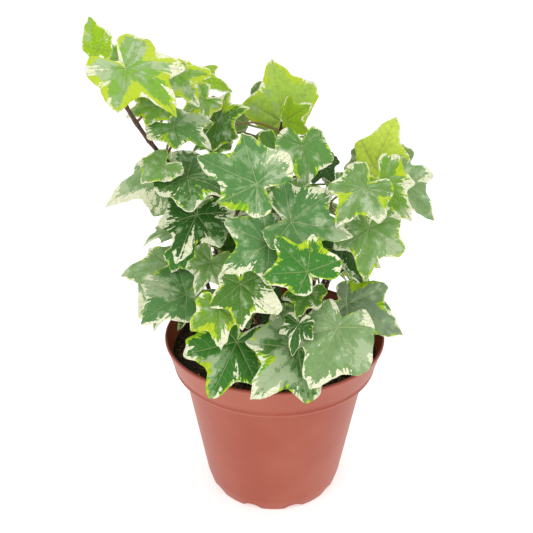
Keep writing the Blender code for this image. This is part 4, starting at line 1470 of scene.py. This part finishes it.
# %% The floor
FLOOR_SIZE = 8.0
FLOOR_DROP = 0.0004
FLOOR_GLOW = 0.5


def floor_finish():
    board = Finish("pale_floor")
    cloud = board.noise(board.position(), 1.5, 2)
    board.give("Base Color", board.ramp(cloud, 0.2, 0.8, 0.86, 0.88))
    board.give("Roughness", 0.7)
    board.give("Emission Color", (1, 1, 1, 1))
    board.give("Emission Strength", FLOOR_GLOW)
    return board.material


ground = bmesh.new()
bmesh.ops.create_grid(ground, x_segments=8, y_segments=8, size=FLOOR_SIZE / 2 / METRES_PER_MM)
bmesh.ops.translate(ground, verts=ground.verts, vec=(0, 0, -FLOOR_DROP / METRES_PER_MM))
piece_from("studio_floor", ground, floor_finish())

# %% The lights
Lamp = namedtuple("Lamp", "name place size power")
LAMPS = (
    Lamp("key", (-0.7, -0.8, 1.0), 0.9, 4.5),
    Lamp("fill", (0.9, -0.5, 0.7), 0.9, 2),
    Lamp("top", (0.1, 0.3, 1.3), 1.2, 4),
)
LOOK_AT = Vector((0, 0, 0.13))
WORLD_STRENGTH = 0.62

world = bpy.data.worlds.new("studio")
world.use_nodes = True
sky = world.node_tree.nodes["Background"].inputs
sky["Color"].default_value = (1, 1, 1, 1)
sky["Strength"].default_value = WORLD_STRENGTH
bpy.context.scene.world = world
for lamp in LAMPS:
    light = bpy.data.lights.new(lamp.name, "AREA")
    light.energy = lamp.power
    light.size = lamp.size
    stand = bpy.data.objects.new(lamp.name, light)
    stand.location = lamp.place
    stand.rotation_euler = (LOOK_AT - stand.location).to_track_quat("-Z", "Y").to_euler()
    bpy.context.scene.collection.objects.link(stand)
bpy.context.scene.view_settings.view_transform = "Standard"

# %% The camera
CAMERA_PLACE = (0, -0.3464, 0.2938)
CAMERA_DOWN = 24.98
CAMERA_TURN = 0.76
CAMERA_ROLL = 0.22
LENS_MM = 48.8
SENSOR_MM = 36

lens = bpy.data.cameras.new("photo_camera")
lens.lens = LENS_MM
lens.sensor_width = SENSOR_MM
camera = bpy.data.objects.new("photo_camera", lens)
turned = Matrix.Rotation(math.radians(CAMERA_TURN), 4, "Z")
lowered = Matrix.Rotation(math.radians(90 - CAMERA_DOWN), 4, "X")
rolled = Matrix.Rotation(math.radians(CAMERA_ROLL), 4, "Z")
camera.matrix_world = Matrix.Translation(CAMERA_PLACE) @ turned @ lowered @ rolled
bpy.context.scene.collection.objects.link(camera)
bpy.context.scene.camera = camera
